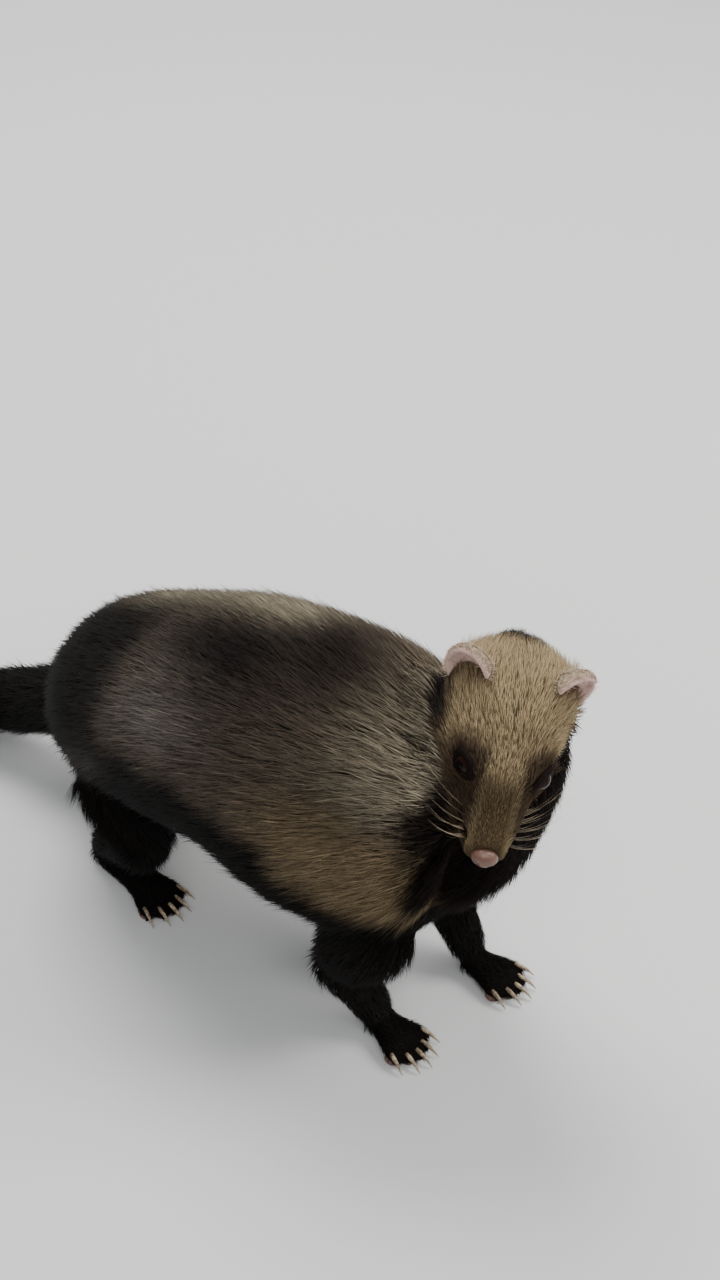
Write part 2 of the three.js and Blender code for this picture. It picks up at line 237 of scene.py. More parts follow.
@dataclass(frozen=True)
class LegPlan:
    """The right leg of a pair, and how far the left one's foot stands from where a mirror would put it."""

    name: str
    upper: Line
    lower: Line
    step: float
    foot_at: tuple[float, float]
    foot_turn: float
    heel: float
    sole: float
    width: float
    toe: float
    toe_radius: float
    claw: float
    chart_width: float = 0.11

    def moved(self, line: Line, side: float, start: float, end: float) -> Line:
        """Mirrors stations for a side and spreads the step along them.

        Args:
            line: the right leg's stations.
            side: 1 for the left leg and -1 for the right.
            start: the share of the step at the first station.
            end: the share of the step at the last station.

        Returns:
            The stations of that side's leg.
        """
        step = self.step * (side > 0)
        made = []
        for i, s in enumerate(line):
            share = start + (end - start) * i / (len(line) - 1)
            made.append(replace(s, at=(s.at[0] + step * share, -side * s.at[1], s.at[2])))
        return tuple(made)

    def foot_frame(self, side: float) -> Matrix:
        """Works out the foot's own frame, toes towards +X.

        Args:
            side: 1 for the left foot and -1 for the right.

        Returns:
            A matrix in drawn millimetres.
        """
        step = self.step * (side > 0)
        place = Matrix.Translation((self.foot_at[0] + step, -side * self.foot_at[1], 0))
        return place @ Matrix.Rotation(math.radians(-side * self.foot_turn), 4, "Z")

    def runs(self, side_name: str, column: float) -> list[Run]:
        """Makes the three runs of one leg.

        Args:
            side_name: "left" or "right".
            column: where the leg's charts start across the coat's map.

        Returns:
            The upper leg, lower leg and paw.
        """
        side = SIDES[side_name]
        matrix = self.foot_frame(side)
        paw = stations(
            (-self.heel, 0, 6, 6.5, 4.5, 1.6),
            (self.sole * 0.6, 0, 5, 7.5, 3.4, 1.0),
            (self.sole + self.toe * 0.9, 0, 3.4, 6.0, 2.4, 0.7),
        )
        parts = (
            (Region.UPPER_LEG, self.moved(self.upper, side, 0, 0.5), 0.26, 0.36),
            (Region.LOWER_LEG, self.moved(self.lower, side, 0.5, 1), 0.38, 0.46),
            (Region.PAW, tuple(replace(s, at=tuple(matrix @ Vector(s.at))) for s in paw), 0.14, 0.24),
        )
        right = column + self.chart_width
        return [Run(region, line, (column, low, right, high)) for region, line, low, high in parts]


FORE = LegPlan(
    name="fore",
    upper=stations(
        (60, -12, 60, 13, 12, 5.0),
        (57, -20, 50, 16, 11, 4.6),
        (50, -24, 40, 14.5, 9, 3.8),
        (44, -25, 33, 9, 8, 3.2),
    ),
    lower=stations(
        (44, -25, 35, 8.5, 8, 3.0),
        (46, -24.5, 28, 11, 7.5, 3.0),
        (52, -23, 19, 8.8, 6, 2.4),
        (58, -21.5, 10.5, 7.4, 4.5, 1.8),
        (61, -21, 7, 4, 4, 1.5),
    ),
    step=9,
    foot_at=(58, -21),
    foot_turn=-4,
    heel=2,
    sole=14,
    width=7.8,
    toe=9.5,
    toe_radius=2.9,
    claw=4.5,
)
HIND = LegPlan(
    name="hind",
    upper=stations(
        (-70, -15, 62, 14, 15, 6.0),
        (-63, -21, 51, 19, 14, 5.6),
        (-53, -25.5, 40, 17, 11, 4.6),
        (-42, -28, 32, 11, 9, 3.4),
        (-37, -29, 29, 5, 8, 3.0),
    ),
    lower=stations(
        (-40, -29, 32, 8, 9, 3.2),
        (-46, -29, 28, 11, 8, 3.0),
        (-58, -28, 20, 9.2, 6.5, 2.6),
        (-69, -27, 12, 6.9, 5, 2.0),
        (-73, -26.6, 9, 4, 4, 1.6),
    ),
    step=-7,
    foot_at=(-70, -27),
    foot_turn=-5,
    heel=5,
    sole=31,
    width=8.0,
    toe=11,
    toe_radius=3.1,
    claw=4.6,
)
LEGS = [(plan, side_name) for plan in (FORE, HIND) for side_name in SIDES]
LEG_CHARTS_START = 0.02
LEG_CHARTS_STEP = 0.12

TRUNK = Run(
    Region.TRUNK,
    stations(
        (82, 11, 73, 14, 12, 5.0),
        (71, 9, 76, 35, 13, 5.6),
        (54, 4, 84, 46, 14, 6.2),
        (30, -2, 90, 49, 15, 6.6),
        (0, -3, 91, 47, 15, 6.6),
        (-31, -2, 82, 44, 16, 6.8),
        (-61, 0, 70, 40, 17, 7.0),
        (-82, 3, 59, 33, 18, 7.0),
        (-95, 4, 52, 22, 18, 6.6),
        (-102, 4, 48, 10, 17, 6.0),
    ),
    (0.02, 0.50, 0.48, 0.98),
)
NECK = Run(
    Region.NECK,
    stations(
        (79, 22, 135, 14, 8, 3.4),
        (78, 21, 126, 20, 9, 3.8),
        (75, 18, 112, 24, 10, 4.4),
        (70, 13, 97, 27, 12, 5.0),
        (62, 8, 82, 29, 13, 5.4),
    ),
    (0.76, 0.50, 0.98, 0.74),
)
TAIL = Run(
    Region.TAIL,
    stations(
        (-88, 4, 54, 10, 16, 5.0),
        (-100, 4, 47, 13, 17, 5.4),
        (-118, 3, 36, 14.5, 18, 6.0),
        (-138, -1, 26, 14, 18, 6.0),
        (-159, -8, 19.5, 12.3, 17, 5.6),
        (-179, -17, 15.5, 10.2, 15, 4.8),
        (-197, -27, 13, 6.4, 13, 3.4),
        (-209, -35, 12.5, 2.0, 10, 1.0),
    ),
    (0.76, 0.76, 0.98, 0.98),
)


def all_runs() -> list[Run]:
    """Lists every run of the body.

    Returns:
        The head, neck, trunk and tail, and then the legs, each from its top down to its paw.
    """
    legs = []
    for number, (plan, side_name) in enumerate(LEGS):
        legs += plan.runs(side_name, LEG_CHARTS_START + LEG_CHARTS_STEP * number)
    return [head_run(), NECK, TRUNK, TAIL, *legs]


@dataclass(frozen=True)
class Reading:
    """What the body's map says at each of many points."""

    region: Array
    run: Array
    share: Array
    centre: Array
    lie: Array
    length: Array
    depth: Array


class BodyMap:
    """Knows, for any point near the body, which run it belongs to and how the coat lies there."""

    def __init__(self, runs: list[Run], sharpness: float = 14.0) -> None:
        """Samples every run once.

        Args:
            runs: the body's runs.
            sharpness: how fast one run's say fades beside another's.
        """
        read = [run.samples() for run in runs]
        self.sharpness = sharpness
        self.charts = np.array([run.chart for run in runs])
        self.regions = np.array([run.region.value for run in runs])
        self.run = np.concatenate([np.full(len(r["share"]), i) for i, r in enumerate(read)])
        self.values = {name: np.concatenate([r[name] for r in read]) for name in read[0]}

    def read(self, points: Array) -> Reading:
        """Reads the map at points in drawn millimetres.

        Args:
            points: rows of points.

        Returns:
            One value of each kind for each point.
        """
        parts = []
        for chunk in np.array_split(points, max(1, len(points) // POINTS_AT_ONCE)):
            away = np.linalg.norm(chunk[:, None] - self.values["centre"][None], axis=2)
            ratio = away / self.values["radius"]
            say = np.exp(-self.sharpness * (ratio - ratio.min(axis=1, keepdims=True)))
            say /= say.sum(axis=1, keepdims=True)
            mixed = (say @ self.values[name] for name in ("lie", "length", "depth"))
            parts.append((ratio.argmin(axis=1), *mixed))
        near, lie, length, depth = (np.concatenate(column) for column in zip(*parts))
        run = self.run[near]
        return Reading(
            region=self.regions[run],
            run=run,
            share=self.values["share"][near],
            centre=self.values["centre"][near],
            lie=unit(lie),
            length=length,
            depth=depth,
        )

    def chart_places(self, points: Array, reading: Reading) -> Array:
        """Unwraps points round their runs onto the coat's map.

        Args:
            points: rows of points in drawn millimetres.
            reading: the map's reading there.

        Returns:
            Two map coordinates for each point.
        """
        low, high = self.charts[reading.run, :2], self.charts[reading.run, 2:]
        out = points - reading.centre
        across = unit(np.cross(reading.lie, UP))
        upright = np.cross(across, reading.lie)
        turn = np.arctan2((out * across).sum(1), (out * upright).sum(1)) / (2 * math.pi) + 0.5
        return low + (high - low) * np.stack([reading.share, turn], axis=1)


class Tint(Enum):
    """The coat's and the bare skin's colours, as a painter would mix them."""

    SABLE = "1a1411"
    DARK = "120f0d"
    BACK = "17110f"
    FLANK = "5c5145"
    PALE = "918875"
    WARM = "85745a"
    GREY = "756f69"
    CREAM = "928164"
    BRIDGE = "514431"
    CHEEK = "42362a"
    MASK = "43362a"
    EAR_SKIN = "c6a99e"
    EAR_RIM = "ad9d88"

    def light(self) -> Array:
        """Gives the colour in linear light."""
        return linear(self.value)


class Way(Enum):
    """What a mark's edges are measured along."""

    X = "millimetres forward on the body"
    RISE = "how far the coat faces up"
    SIDE = "how far the coat faces left"
    ASIDE = "how far the coat faces to either side"
    AHEAD = "how far the coat faces forward"
    # The belly's dark edge is the top of the painted shade under the body.
    ABOVE_BELLY_SHADE = "how far the coat faces up, from the belly's dark edge"
    PAST_FLANK = "millimetres forward, from the flank's front edge"
    SHARE = "the share of the way along a run"
    HEAD_X = "millimetres forward on the head"
    HEAD_Y = "millimetres from the head's middle to either side"
    HEAD_Z = "millimetres up on the head"
    ABOVE_CHEEK = "millimetres up, on a line that falls towards the nose"
    EYE = "millimetres from the eye, in the mask's own shape"


@dataclass(frozen=True)
class Mark:
    """One patch of colour, painted over those before it.

    A fade rises from 0 at its first number to 1 at its second. A hill is 1 at its first number and falls
    off over its second on both sides.
    """

    tint: Tint
    fades: tuple[tuple[Way, float, float], ...] = ()
    hills: tuple[tuple[Way, float, float], ...] = ()
    strength: float = 1.0

    def cover(self, measures: dict[Way, Array]) -> Array:
        """Works out how strongly the patch covers each point of its region.

        Args:
            measures: every way's measure at the points.

        Returns:
            A share from 0 to 1 for each point.
        """
        share = np.full(len(measures[Way.X]), self.strength)
        for way, start, end in self.fades:
            share = share * smooth_step(measures[way], start, end)
        for way, middle, width in self.hills:
            share = share * np.exp(-(((measures[way] - middle) / width) ** 2))
        return np.clip(share, 0, 1)


TRUNK_MARKS = (
    Mark(Tint.PALE, ((Way.X, 38, 62), (Way.RISE, 0.45, 0.75)), strength=0.6),
    Mark(Tint.WARM, ((Way.X, 20, 56), (Way.RISE, 0.7, 0.35))),
    # The dark saddle of the back, its middle moved towards the right side that faces the camera: dark fur,
    # with painted shade on the side turned from the lamp behind.
    Mark(Tint.BACK, ((Way.RISE, 0.3, 0.6),), ((Way.X, 6, 36), (Way.SIDE, -0.28, 0.46)), 1.05),
    Mark(Tint.BACK, ((Way.RISE, 0.8, 0.95),), ((Way.X, 34, 26), (Way.SIDE, 0.05, 0.5)), 0.85),
    # Dark on the top and right side of the back behind its middle, not on the left: the rear's dark fur,
    # with painted shade on the side turned from the lamp behind.
    Mark(Tint.BACK, ((Way.X, -26, -48), (Way.SIDE, 0.25, -0.1))),
    # Painted highlight: a lighter band along the left upper side of the back, away from the camera, where
    # the lamp from behind and above catches it.
    Mark(Tint.PALE, ((Way.RISE, 0.5, 0.8), (Way.X, 34, 6), (Way.X, -74, -58)), ((Way.SIDE, 0.3, 0.24),)),
    Mark(Tint.GREY, hills=((Way.X, -14, 19), (Way.RISE, 0.54, 0.24)), strength=0.8),
    # Painted shade under the body: the coat is dark where it faces down, up to the belly's edge, which
    # stands higher towards the rear.
    Mark(Tint.DARK, ((Way.ABOVE_BELLY_SHADE, 0.14, -0.16),)),
    Mark(Tint.DARK, ((Way.X, -44, -66), (Way.RISE, 0.95, 0.6))),
    Mark(Tint.GREY, hills=((Way.X, -50, 12), (Way.RISE, -0.02, 0.14)), strength=0.3),
    Mark(Tint.SABLE, ((Way.X, -78, -92),)),
    Mark(Tint.SABLE, ((Way.PAST_FLANK, 0, 5),)),
    Mark(Tint.SABLE, ((Way.AHEAD, 0.6, 0.85), (Way.X, 60, 70))),
    Mark(Tint.SABLE, ((Way.X, 66, 74), (Way.ASIDE, 0.8, 0.55), (Way.RISE, 0.5, 0.2))),
)
HEAD_MARKS = (
    Mark(Tint.CREAM),
    Mark(Tint.CHEEK, ((Way.ABOVE_CHEEK, 1.5, -3.5),)),
    Mark(Tint.SABLE, ((Way.HEAD_Z, 0, -6), (Way.HEAD_X, 18, 8))),
    Mark(Tint.SABLE, ((Way.HEAD_Y, 14.5, 18.5), (Way.HEAD_Z, 7, 2)), strength=0.75),
    Mark(Tint.CHEEK, ((Way.HEAD_X, 18, 24), (Way.HEAD_Y, 3.5, 7.5), (Way.HEAD_X, 48, 43))),
    Mark(Tint.MASK, ((Way.EYE, 8.5, 4.0),)),
    Mark(Tint.BRIDGE, ((Way.HEAD_X, 26, 34), (Way.HEAD_Y, 7.0, 3.5))),
    Mark(Tint.BRIDGE, ((Way.HEAD_X, 41, 46), (Way.HEAD_Z, 1, -3)), strength=0.7),
    Mark(Tint.BRIDGE, ((Way.HEAD_Z, -11, -14), (Way.HEAD_X, 24, 34))),
    Mark(Tint.SABLE, ((Way.HEAD_X, -9.5, -13.5),)),
    Mark(Tint.SABLE, ((Way.HEAD_Z, -11, -15), (Way.HEAD_X, 26, 16))),
)
MARKS = {
    Region.TRUNK: TRUNK_MARKS,
    Region.NECK: (Mark(Tint.SABLE),),
    Region.TAIL: (Mark(Tint.DARK), Mark(Tint.SABLE, ((Way.SHARE, 0.25, 0.0),))),
    Region.UPPER_LEG: (Mark(Tint.DARK),),
    Region.LOWER_LEG: (Mark(Tint.DARK),),
    Region.PAW: (Mark(Tint.DARK),),
    Region.HEAD: HEAD_MARKS,
}


class Markings:
    """The sable pattern: a dark saddle, legs and tail, tan flanks, a cream head and a brown mask, with
    light painted on the trunk: a painted highlight on the back's far side, painted shade on its near side
    and under the belly.
    """

    waves_count: int = 10
    wave_reach: tuple[float, float] = (0.05, 0.22)
    x_wander: float = 4.0
    rise_wander: float = 0.08
    tone_wander: float = 0.12
    sway_shift: float = 37.0
    # Where the painted shade under the belly ends: the rise below which the coat is dark, and how far that
    # edge falls between the two x values, towards the chest.
    belly_shade_edge: float = 0.16
    belly_shade_drop: float = 0.44
    belly_shade_x: tuple[float, float] = (30, 74)
    flank_front: float = 61
    flank_lap: float = 14
    flank_rise: tuple[float, float] = (0.96, 0.86)
    cheek_slope: float = 0.12
    mask_at: Point = (25.0, 12.0, 3.5)
    mask_stretch: float = 1.3
    mask_squash: float = 0.4

    def __init__(self) -> None:
        """Draws the mottling's waves."""
        rng = np.random.default_rng(SEED)
        count = self.waves_count
        self.waves = rng.normal(size=(count, 3)) * rng.uniform(*self.wave_reach, size=(count, 1))
        self.starts = rng.uniform(0, 2 * math.pi, count)

    def mottle(self, points: Array) -> Array:
        """Gives a soft wandering value from -1 to 1 over the body."""
        return np.sin(points @ self.waves.T + self.starts).mean(axis=1) * 2

    def sway(self, points: Array) -> Array:
        """Gives the slow wander of the coat's lie, a small vector at each point."""
        shifted = [points + self.sway_shift * axis for axis in range(3)]
        return np.stack([self.mottle(p) for p in shifted], axis=1)

    def measures(self, points: Array, reading: Reading, wander: Array) -> dict[Way, Array]:
        """Measures points along every way that the marks use.

        Args:
            points: rows of points in drawn millimetres.
            reading: the map's reading there.
            wander: the mottling there, which breaks the marks' edges.

        Returns:
            One value for each point, for each way.
        """
        out = unit(points - reading.centre)
        x, rise = points[:, 0] + self.x_wander * wander, out[:, 2] + self.rise_wander * wander
        head_x, head_y, head_z = HEAD.folded(points).T + wander * np.array([[1], [0], [1]])
        belly_shade_edge = self.belly_shade_edge - self.belly_shade_drop * smooth_step(x, *self.belly_shade_x)
        flank_front = self.flank_front + self.flank_lap * smooth_step(rise, *self.flank_rise)
        mask_x, mask_y, mask_z = self.mask_at
        from_eye = np.hypot((head_x - mask_x) / self.mask_stretch, head_y - mask_y)
        return {
            Way.X: x,
            Way.RISE: rise,
            Way.SIDE: out[:, 1],
            Way.ASIDE: np.abs(out[:, 1]),
            Way.AHEAD: out[:, 0],
            Way.ABOVE_BELLY_SHADE: rise - belly_shade_edge,
            Way.PAST_FLANK: x - flank_front,
            Way.SHARE: reading.share,
            Way.HEAD_X: head_x,
            Way.HEAD_Y: head_y,
            Way.HEAD_Z: head_z,
            Way.ABOVE_CHEEK: head_z + self.cheek_slope * head_x,
            Way.EYE: from_eye + self.mask_squash * np.abs(head_z - mask_z),
        }

    def paint(self, points: Array, reading: Reading) -> Array:
        """Colours points of the coat, region by region.

        Args:
            points: rows of points in drawn millimetres.
            reading: the map's reading there.

        Returns:
            Linear colours.
        """
        wander = self.mottle(points)
        measures = self.measures(points, reading, wander)
        colour = np.tile(Tint.FLANK.light(), (len(points), 1))
        for region, marks in MARKS.items():
            here = reading.region == region.value
            for mark in marks:
                colour += (mark.tint.light() - colour) * (here * mark.cover(measures))[:, None]
        return colour * (1 + self.tone_wander * wander)[:, None]


def linked(name: str, data: bpy.types.ID) -> Object:
    """Links a mesh, lamp or camera into the scene as an object.

    Args:
        name: the object's name.
        data: what the object shows.

    Returns:
        The new object, at the origin.
    """
    made = bpy.data.objects.new(name, data)
    bpy.context.scene.collection.objects.link(made)
    return made


def mesh_object(name: str, bm: BMesh) -> Object:
    """Turns a bmesh in packed metres into an object at the origin.

    Args:
        name: the object's name.
        bm: the shape; it is freed.

    Returns:
        The new object.
    """
    mesh = bpy.data.meshes.new(name)
    bm.to_mesh(mesh)
    bm.free()
    return linked(name, mesh)


def finished(name: str, bm: BMesh) -> Object:
    """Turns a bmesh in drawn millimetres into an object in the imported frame.

    Args:
        name: the object's name.
        bm: the shape; it is freed.

    Returns:
        The new object.
    """
    bmesh.ops.recalc_face_normals(bm, faces=bm.faces)
    bmesh.ops.translate(bm, verts=bm.verts, vec=Vector(OFFSET))
    bmesh.ops.scale(bm, verts=bm.verts, vec=(MM, MM, MM))
    return mesh_object(name, bm)


def gathered(parts: list[BMesh], matrix: Matrix) -> BMesh:
    """Puts several shapes into one, in their place.

    Args:
        parts: the shapes; they are freed.
        matrix: what moves them all into the wanted frame.

    Returns:
        One shape.
    """
    whole = bmesh.new()
    for part in parts:
        bmesh.ops.transform(part, verts=part.verts, matrix=matrix)
        mesh = bpy.data.meshes.new("part")
        part.to_mesh(mesh)
        part.free()
        whole.from_mesh(mesh)
        bpy.data.meshes.remove(mesh)
    return whole


class Recipe:
    """A material in the making: the plain shader and the nodes that feed it."""

    def __init__(self, name: str, sockets: dict[str, float]) -> None:
        """Starts the material.

        Args:
            name: its name.
            sockets: values for the shader's own sockets.
        """
        self.material = bpy.data.materials.new(name)
        self.material.use_nodes = True
        self.shader = self.material.node_tree.nodes["Principled BSDF"]
        self.feed(self.shader, sockets)

    def feed(self, node: Node, inputs: dict[str | int, NodeSocket | float | Point]) -> None:
        """Fills a node's sockets.

        Args:
            node: the node.
            inputs: for each socket, the value that it holds or the output that feeds it.
        """
        for socket, value in inputs.items():
            if isinstance(value, NodeSocket):
                self.material.node_tree.links.new(value, node.inputs[socket])
            else:
                node.inputs[socket].default_value = value

    def node(self, kind: str, inputs: dict | None = None, **settings: str) -> Node:
        """Adds a node.

        Args:
            kind: its type, without the leading ShaderNode.
            inputs: what fills its sockets.
            **settings: its own settings.

        Returns:
            The node.
        """
        made = self.material.node_tree.nodes.new(f"ShaderNode{kind}")
        for name, value in settings.items():
            setattr(made, name, value)
        self.feed(made, inputs or {})
        return made

    def place(self) -> NodeSocket:
        """Adds the node that reads Object coordinates, and gives what it reads."""
        return self.node("TexCoord").outputs["Object"]

    def grain(self, size: float, detail: float) -> NodeSocket:
        """Adds a fine noise on Object coordinates.

        Args:
            size: its coarsest grain in millimetres.
            detail: how many finer grains it has.

        Returns:
            Its value.
        """
        sockets = {"Scale": 1 / (size * MM), "Detail": detail, "Vector": self.place()}
        return self.node("TexNoise", sockets).outputs["Fac"]

    def colours(self, share: NodeSocket, stops: list[tuple[float, str]]) -> None:
        """Colours the shader along a ramp.

        Args:
            share: the value that runs along the ramp.
            stops: places on the ramp and the hex colours there.
        """
        ramp = self.node("ValToRGB", {"Fac": share})
        while len(ramp.color_ramp.elements) < len(stops):
            ramp.color_ramp.elements.new(1.0)
        for element, (position, code) in zip(ramp.color_ramp.elements, stops):
            element.position = position
            element.color = (*linear(code), 1)
        self.feed(self.shader, {"Base Color": ramp.outputs["Color"]})

    def bump(self, height: NodeSocket, strength: float, depth: float) -> None:
        """Roughens the surface.

        Args:
            height: the value that it follows.
            strength: how strongly it shows.
            depth: how deep it looks, in millimetres.
        """
        bump = self.node("Bump", {"Strength": strength, "Distance": depth * MM, "Height": height})
        self.feed(self.shader, {"Normal": bump.outputs["Normal"]})


@dataclass(frozen=True)
class Finish:
    """A finish whose material is made once and shared by every piece that wears it."""

    name: str

    def material(self) -> Material:
        """Gives the finish's material, and makes it the first time."""
        return bpy.data.materials.get(self.name) or self.made()

    def made(self) -> Material:
        """Builds the material; each kind of finish has its own way."""
        raise NotImplementedError


@dataclass(frozen=True)
class FurFinish(Finish):
    """Hair or haired skin, whose colour is painted on the surface as an attribute."""

    roughness: float
    sheen: float
    grain: float
    grain_size: float
    bump: float
    specular: float = 0.05
    sheen_roughness: float = 0.4

    def made(self) -> Material:
        """Builds the material.

        Returns:
            A material that reads the coat's colour and breaks it with a fine grain.
        """
        recipe = Recipe(self.name, {
            "Roughness": self.roughness,
            "Sheen Weight": self.sheen,
            "Sheen Roughness": self.sheen_roughness,
            "Specular IOR Level": self.specular,
        })
        grain = recipe.grain(self.grain_size, detail=3.0)
        ends = {"From Min": 0.3, "From Max": 0.7, "To Min": 1 - self.grain, "To Max": 1 + self.grain}
        shade = recipe.node("MapRange", {"Value": grain, **ends}).outputs["Result"]
        colour = recipe.node("Attribute", attribute_name=COAT_COLOUR).outputs["Color"]
        mixed = recipe.node("VectorMath", {0: colour, "Scale": shade}, operation="SCALE")
        recipe.feed(recipe.shader, {"Base Color": mixed.outputs["Vector"]})
        if self.bump:
            recipe.bump(grain, self.bump, depth=0.3)
        return recipe.material


@dataclass(frozen=True)
class PlainFinish(Finish):
    """One colour broken by a fine grain, for claws, pads, nose, lids and whiskers."""

    low: str
    high: str
    roughness: float
    grain_size: float
    coat: float = 0.0
    coat_roughness: float = 0.1
    bump: float = 0.2
    specular: float = 0.5

    def made(self) -> Material:
        """Builds the material.

        Returns:
            A material whose two colours follow a noise on Object coordinates.
        """
        recipe = Recipe(self.name, {
            "Roughness": self.roughness,
            "Specular IOR Level": self.specular,
            "Coat Weight": self.coat,
            "Coat Roughness": self.coat_roughness,
        })
        grain = recipe.grain(self.grain_size, detail=4.0)
        recipe.colours(grain, [(0.35, self.low), (0.65, self.high)])
        recipe.bump(grain, self.bump, depth=0.2)
        return recipe.material


@dataclass(frozen=True)
class EyeFinish(Finish):
    """A wet dark eye: a black pupil, a brown iris round it, and dark at the edge."""

    front: Point
    pupil: float = 1.5
    iris: float = 3.6
    roughness: float = 0.12
    specular: float = 0.08
    coat: float = 0.05
    coat_roughness: float = 0.03

    def made(self) -> Material:
        """Builds the material.

        Returns:
            A glossy material whose colour follows the distance from the front of the eye.
        """
        recipe = Recipe(self.name, {
            "Roughness": self.roughness,
            "Specular IOR Level": self.specular,
            "Coat Weight": self.coat,
            "Coat Roughness": self.coat_roughness,
        })
        away = recipe.node("VectorMath", {0: recipe.place(), 1: self.front}, operation="DISTANCE")
        away = away.outputs["Value"]
        share = recipe.node("Math", {0: away, 1: 1 / (self.iris * MM)}, operation="MULTIPLY")
        edge = self.pupil / self.iris
        inner = [(0.0, "020101"), (edge, "040202"), (edge + 0.12, "201009")]
        recipe.colours(share.outputs["Value"], [*inner, (0.9, "140a06"), (1.0, "050302")])
        return recipe.material


HIDE = FurFinish("haired skin", roughness=0.8, sheen=0.0, grain=0.18, grain_size=0.6, bump=0.5)
HAIR = FurFinish("soft hair", roughness=0.65, sheen=0.02, grain=0.12, grain_size=0.5, bump=0.0)
EAR_HIDE = FurFinish("ear skin", roughness=0.6, sheen=0.15, grain=0.1, grain_size=0.5, bump=0.3)
MOIST = PlainFinish("moist nose", "53382f", "735144", roughness=0.4, grain_size=0.35, coat=0.2, bump=0.5)
LID_SKIN = PlainFinish("lid skin", "0f0a09", "1b1210", roughness=0.75, grain_size=0.5, specular=0.05)
LIP_SKIN = PlainFinish("lip skin", "1d1210", "35221d", roughness=0.6, grain_size=0.4, specular=0.3)
PAD_SKIN = PlainFinish("pad skin", "4a3430", "77564e", roughness=0.6, grain_size=0.4, bump=0.5)
HORN = PlainFinish("claw horn", "6b5a4a", "b9a68c", roughness=0.35, grain_size=0.8, coat=0.2)
BRISTLE = PlainFinish("whisker hair", "2c211b", "a8967c", roughness=0.4, grain_size=6.0)


def dressed(piece: Object, finish: Finish, slot: str, *nodes: str) -> Object:
    """Finishes a piece, ties it to the body, and hides the frame solids that it stands for.

    Args:
        piece: the piece.
        finish: what its surface is made of.
        slot: the name of its material slot; not used.
        *nodes: the frame nodes that it replaces.

    Returns:
        The piece.
    """
    piece.data.shade_smooth()
    piece.data.materials.clear()
    piece.data.materials.append(finish.material())
    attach(piece, "root")
    if nodes:
        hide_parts(*nodes)
    LOG.info("%s: %d faces", piece.name, len(piece.data.polygons))
    return piece


def paint_attribute(mesh: Mesh, colours: Array) -> None:
    """Stores one colour for each vertex under the name that the coat's finish reads."""
    layer = mesh.color_attributes.new(COAT_COLOUR, "FLOAT_COLOR", "POINT")
    layer.data.foreach_set("color", np.insert(colours, 3, 1, axis=1).astype(np.float32).ravel())


def rows_of(items: bpy.types.bpy_prop_collection, name: str, kind: type = np.float32) -> Array:
    """Reads three values from each of a mesh's items.

    Args:
        items: the mesh's vertices, normals or triangles.
        name: which of their values is read.
        kind: the values' own type.

    Returns:
        One row for each item.
    """
    flat = np.empty(len(items) * 3, kind)
    items.foreach_get(name, flat)
    return flat.reshape(-1, 3)


def vertex_places(mesh: Mesh) -> Array:
    """Reads a mesh's vertices as rows, in drawn millimetres."""
    return rows_of(mesh.vertices, "co").astype(float) / MM - OFFSET


def vertex_normals(mesh: Mesh) -> Array:
    """Reads a mesh's vertex normals as rows."""
    return rows_of(mesh.vertex_normals, "vector").astype(float)


def triangle_corners(mesh: Mesh) -> Array:
    """Reads a mesh's triangles as rows of three vertices."""
    mesh.calc_loop_triangles()
    return rows_of(mesh.loop_triangles, "vertices", np.int32)


def joined_solids(name: str, nodes: list[str], swell: float) -> Object:
    """Copies frame solids into one mesh, each swollen a little so that neighbours overlap.

    Args:
        name: the new object's name.
        nodes: the frame nodes.
        swell: how far every surface moves out, in millimetres.

    Returns:
        The new object, of closed surfaces that cross each other.
    """
    parts = []
    for node in nodes:
        part = bmesh.new()
        part.from_mesh(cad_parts[node].data)
        bmesh.ops.remove_doubles(part, verts=part.verts, dist=0.01 * MM)
        part.normal_update()
        for vert in part.verts:
            vert.co += vert.normal * swell * MM
        parts.append(part)
    return mesh_object(name, gathered(parts, Matrix.Identity(4)))


def remeshed(piece: Object, voxel: float, smoothing: int) -> None:
    """Fuses a piece's surfaces into one even skin.

    Args:
        piece: the object.
        voxel: the skin's grain in millimetres.
        smoothing: how many times the skin is smoothed.
    """
    fuse = piece.modifiers.new("fuse", "REMESH")
    fuse.mode = "VOXEL"
    fuse.voxel_size = voxel * MM
    soften = piece.modifiers.new("soften", "SMOOTH")
    soften.factor = 0.5
    soften.iterations = smoothing
    graph = bpy.context.evaluated_depsgraph_get()
    old = piece.data
    piece.data = bpy.data.meshes.new_from_object(piece.evaluated_get(graph))
    piece.modifiers.clear()
    bpy.data.meshes.remove(old)


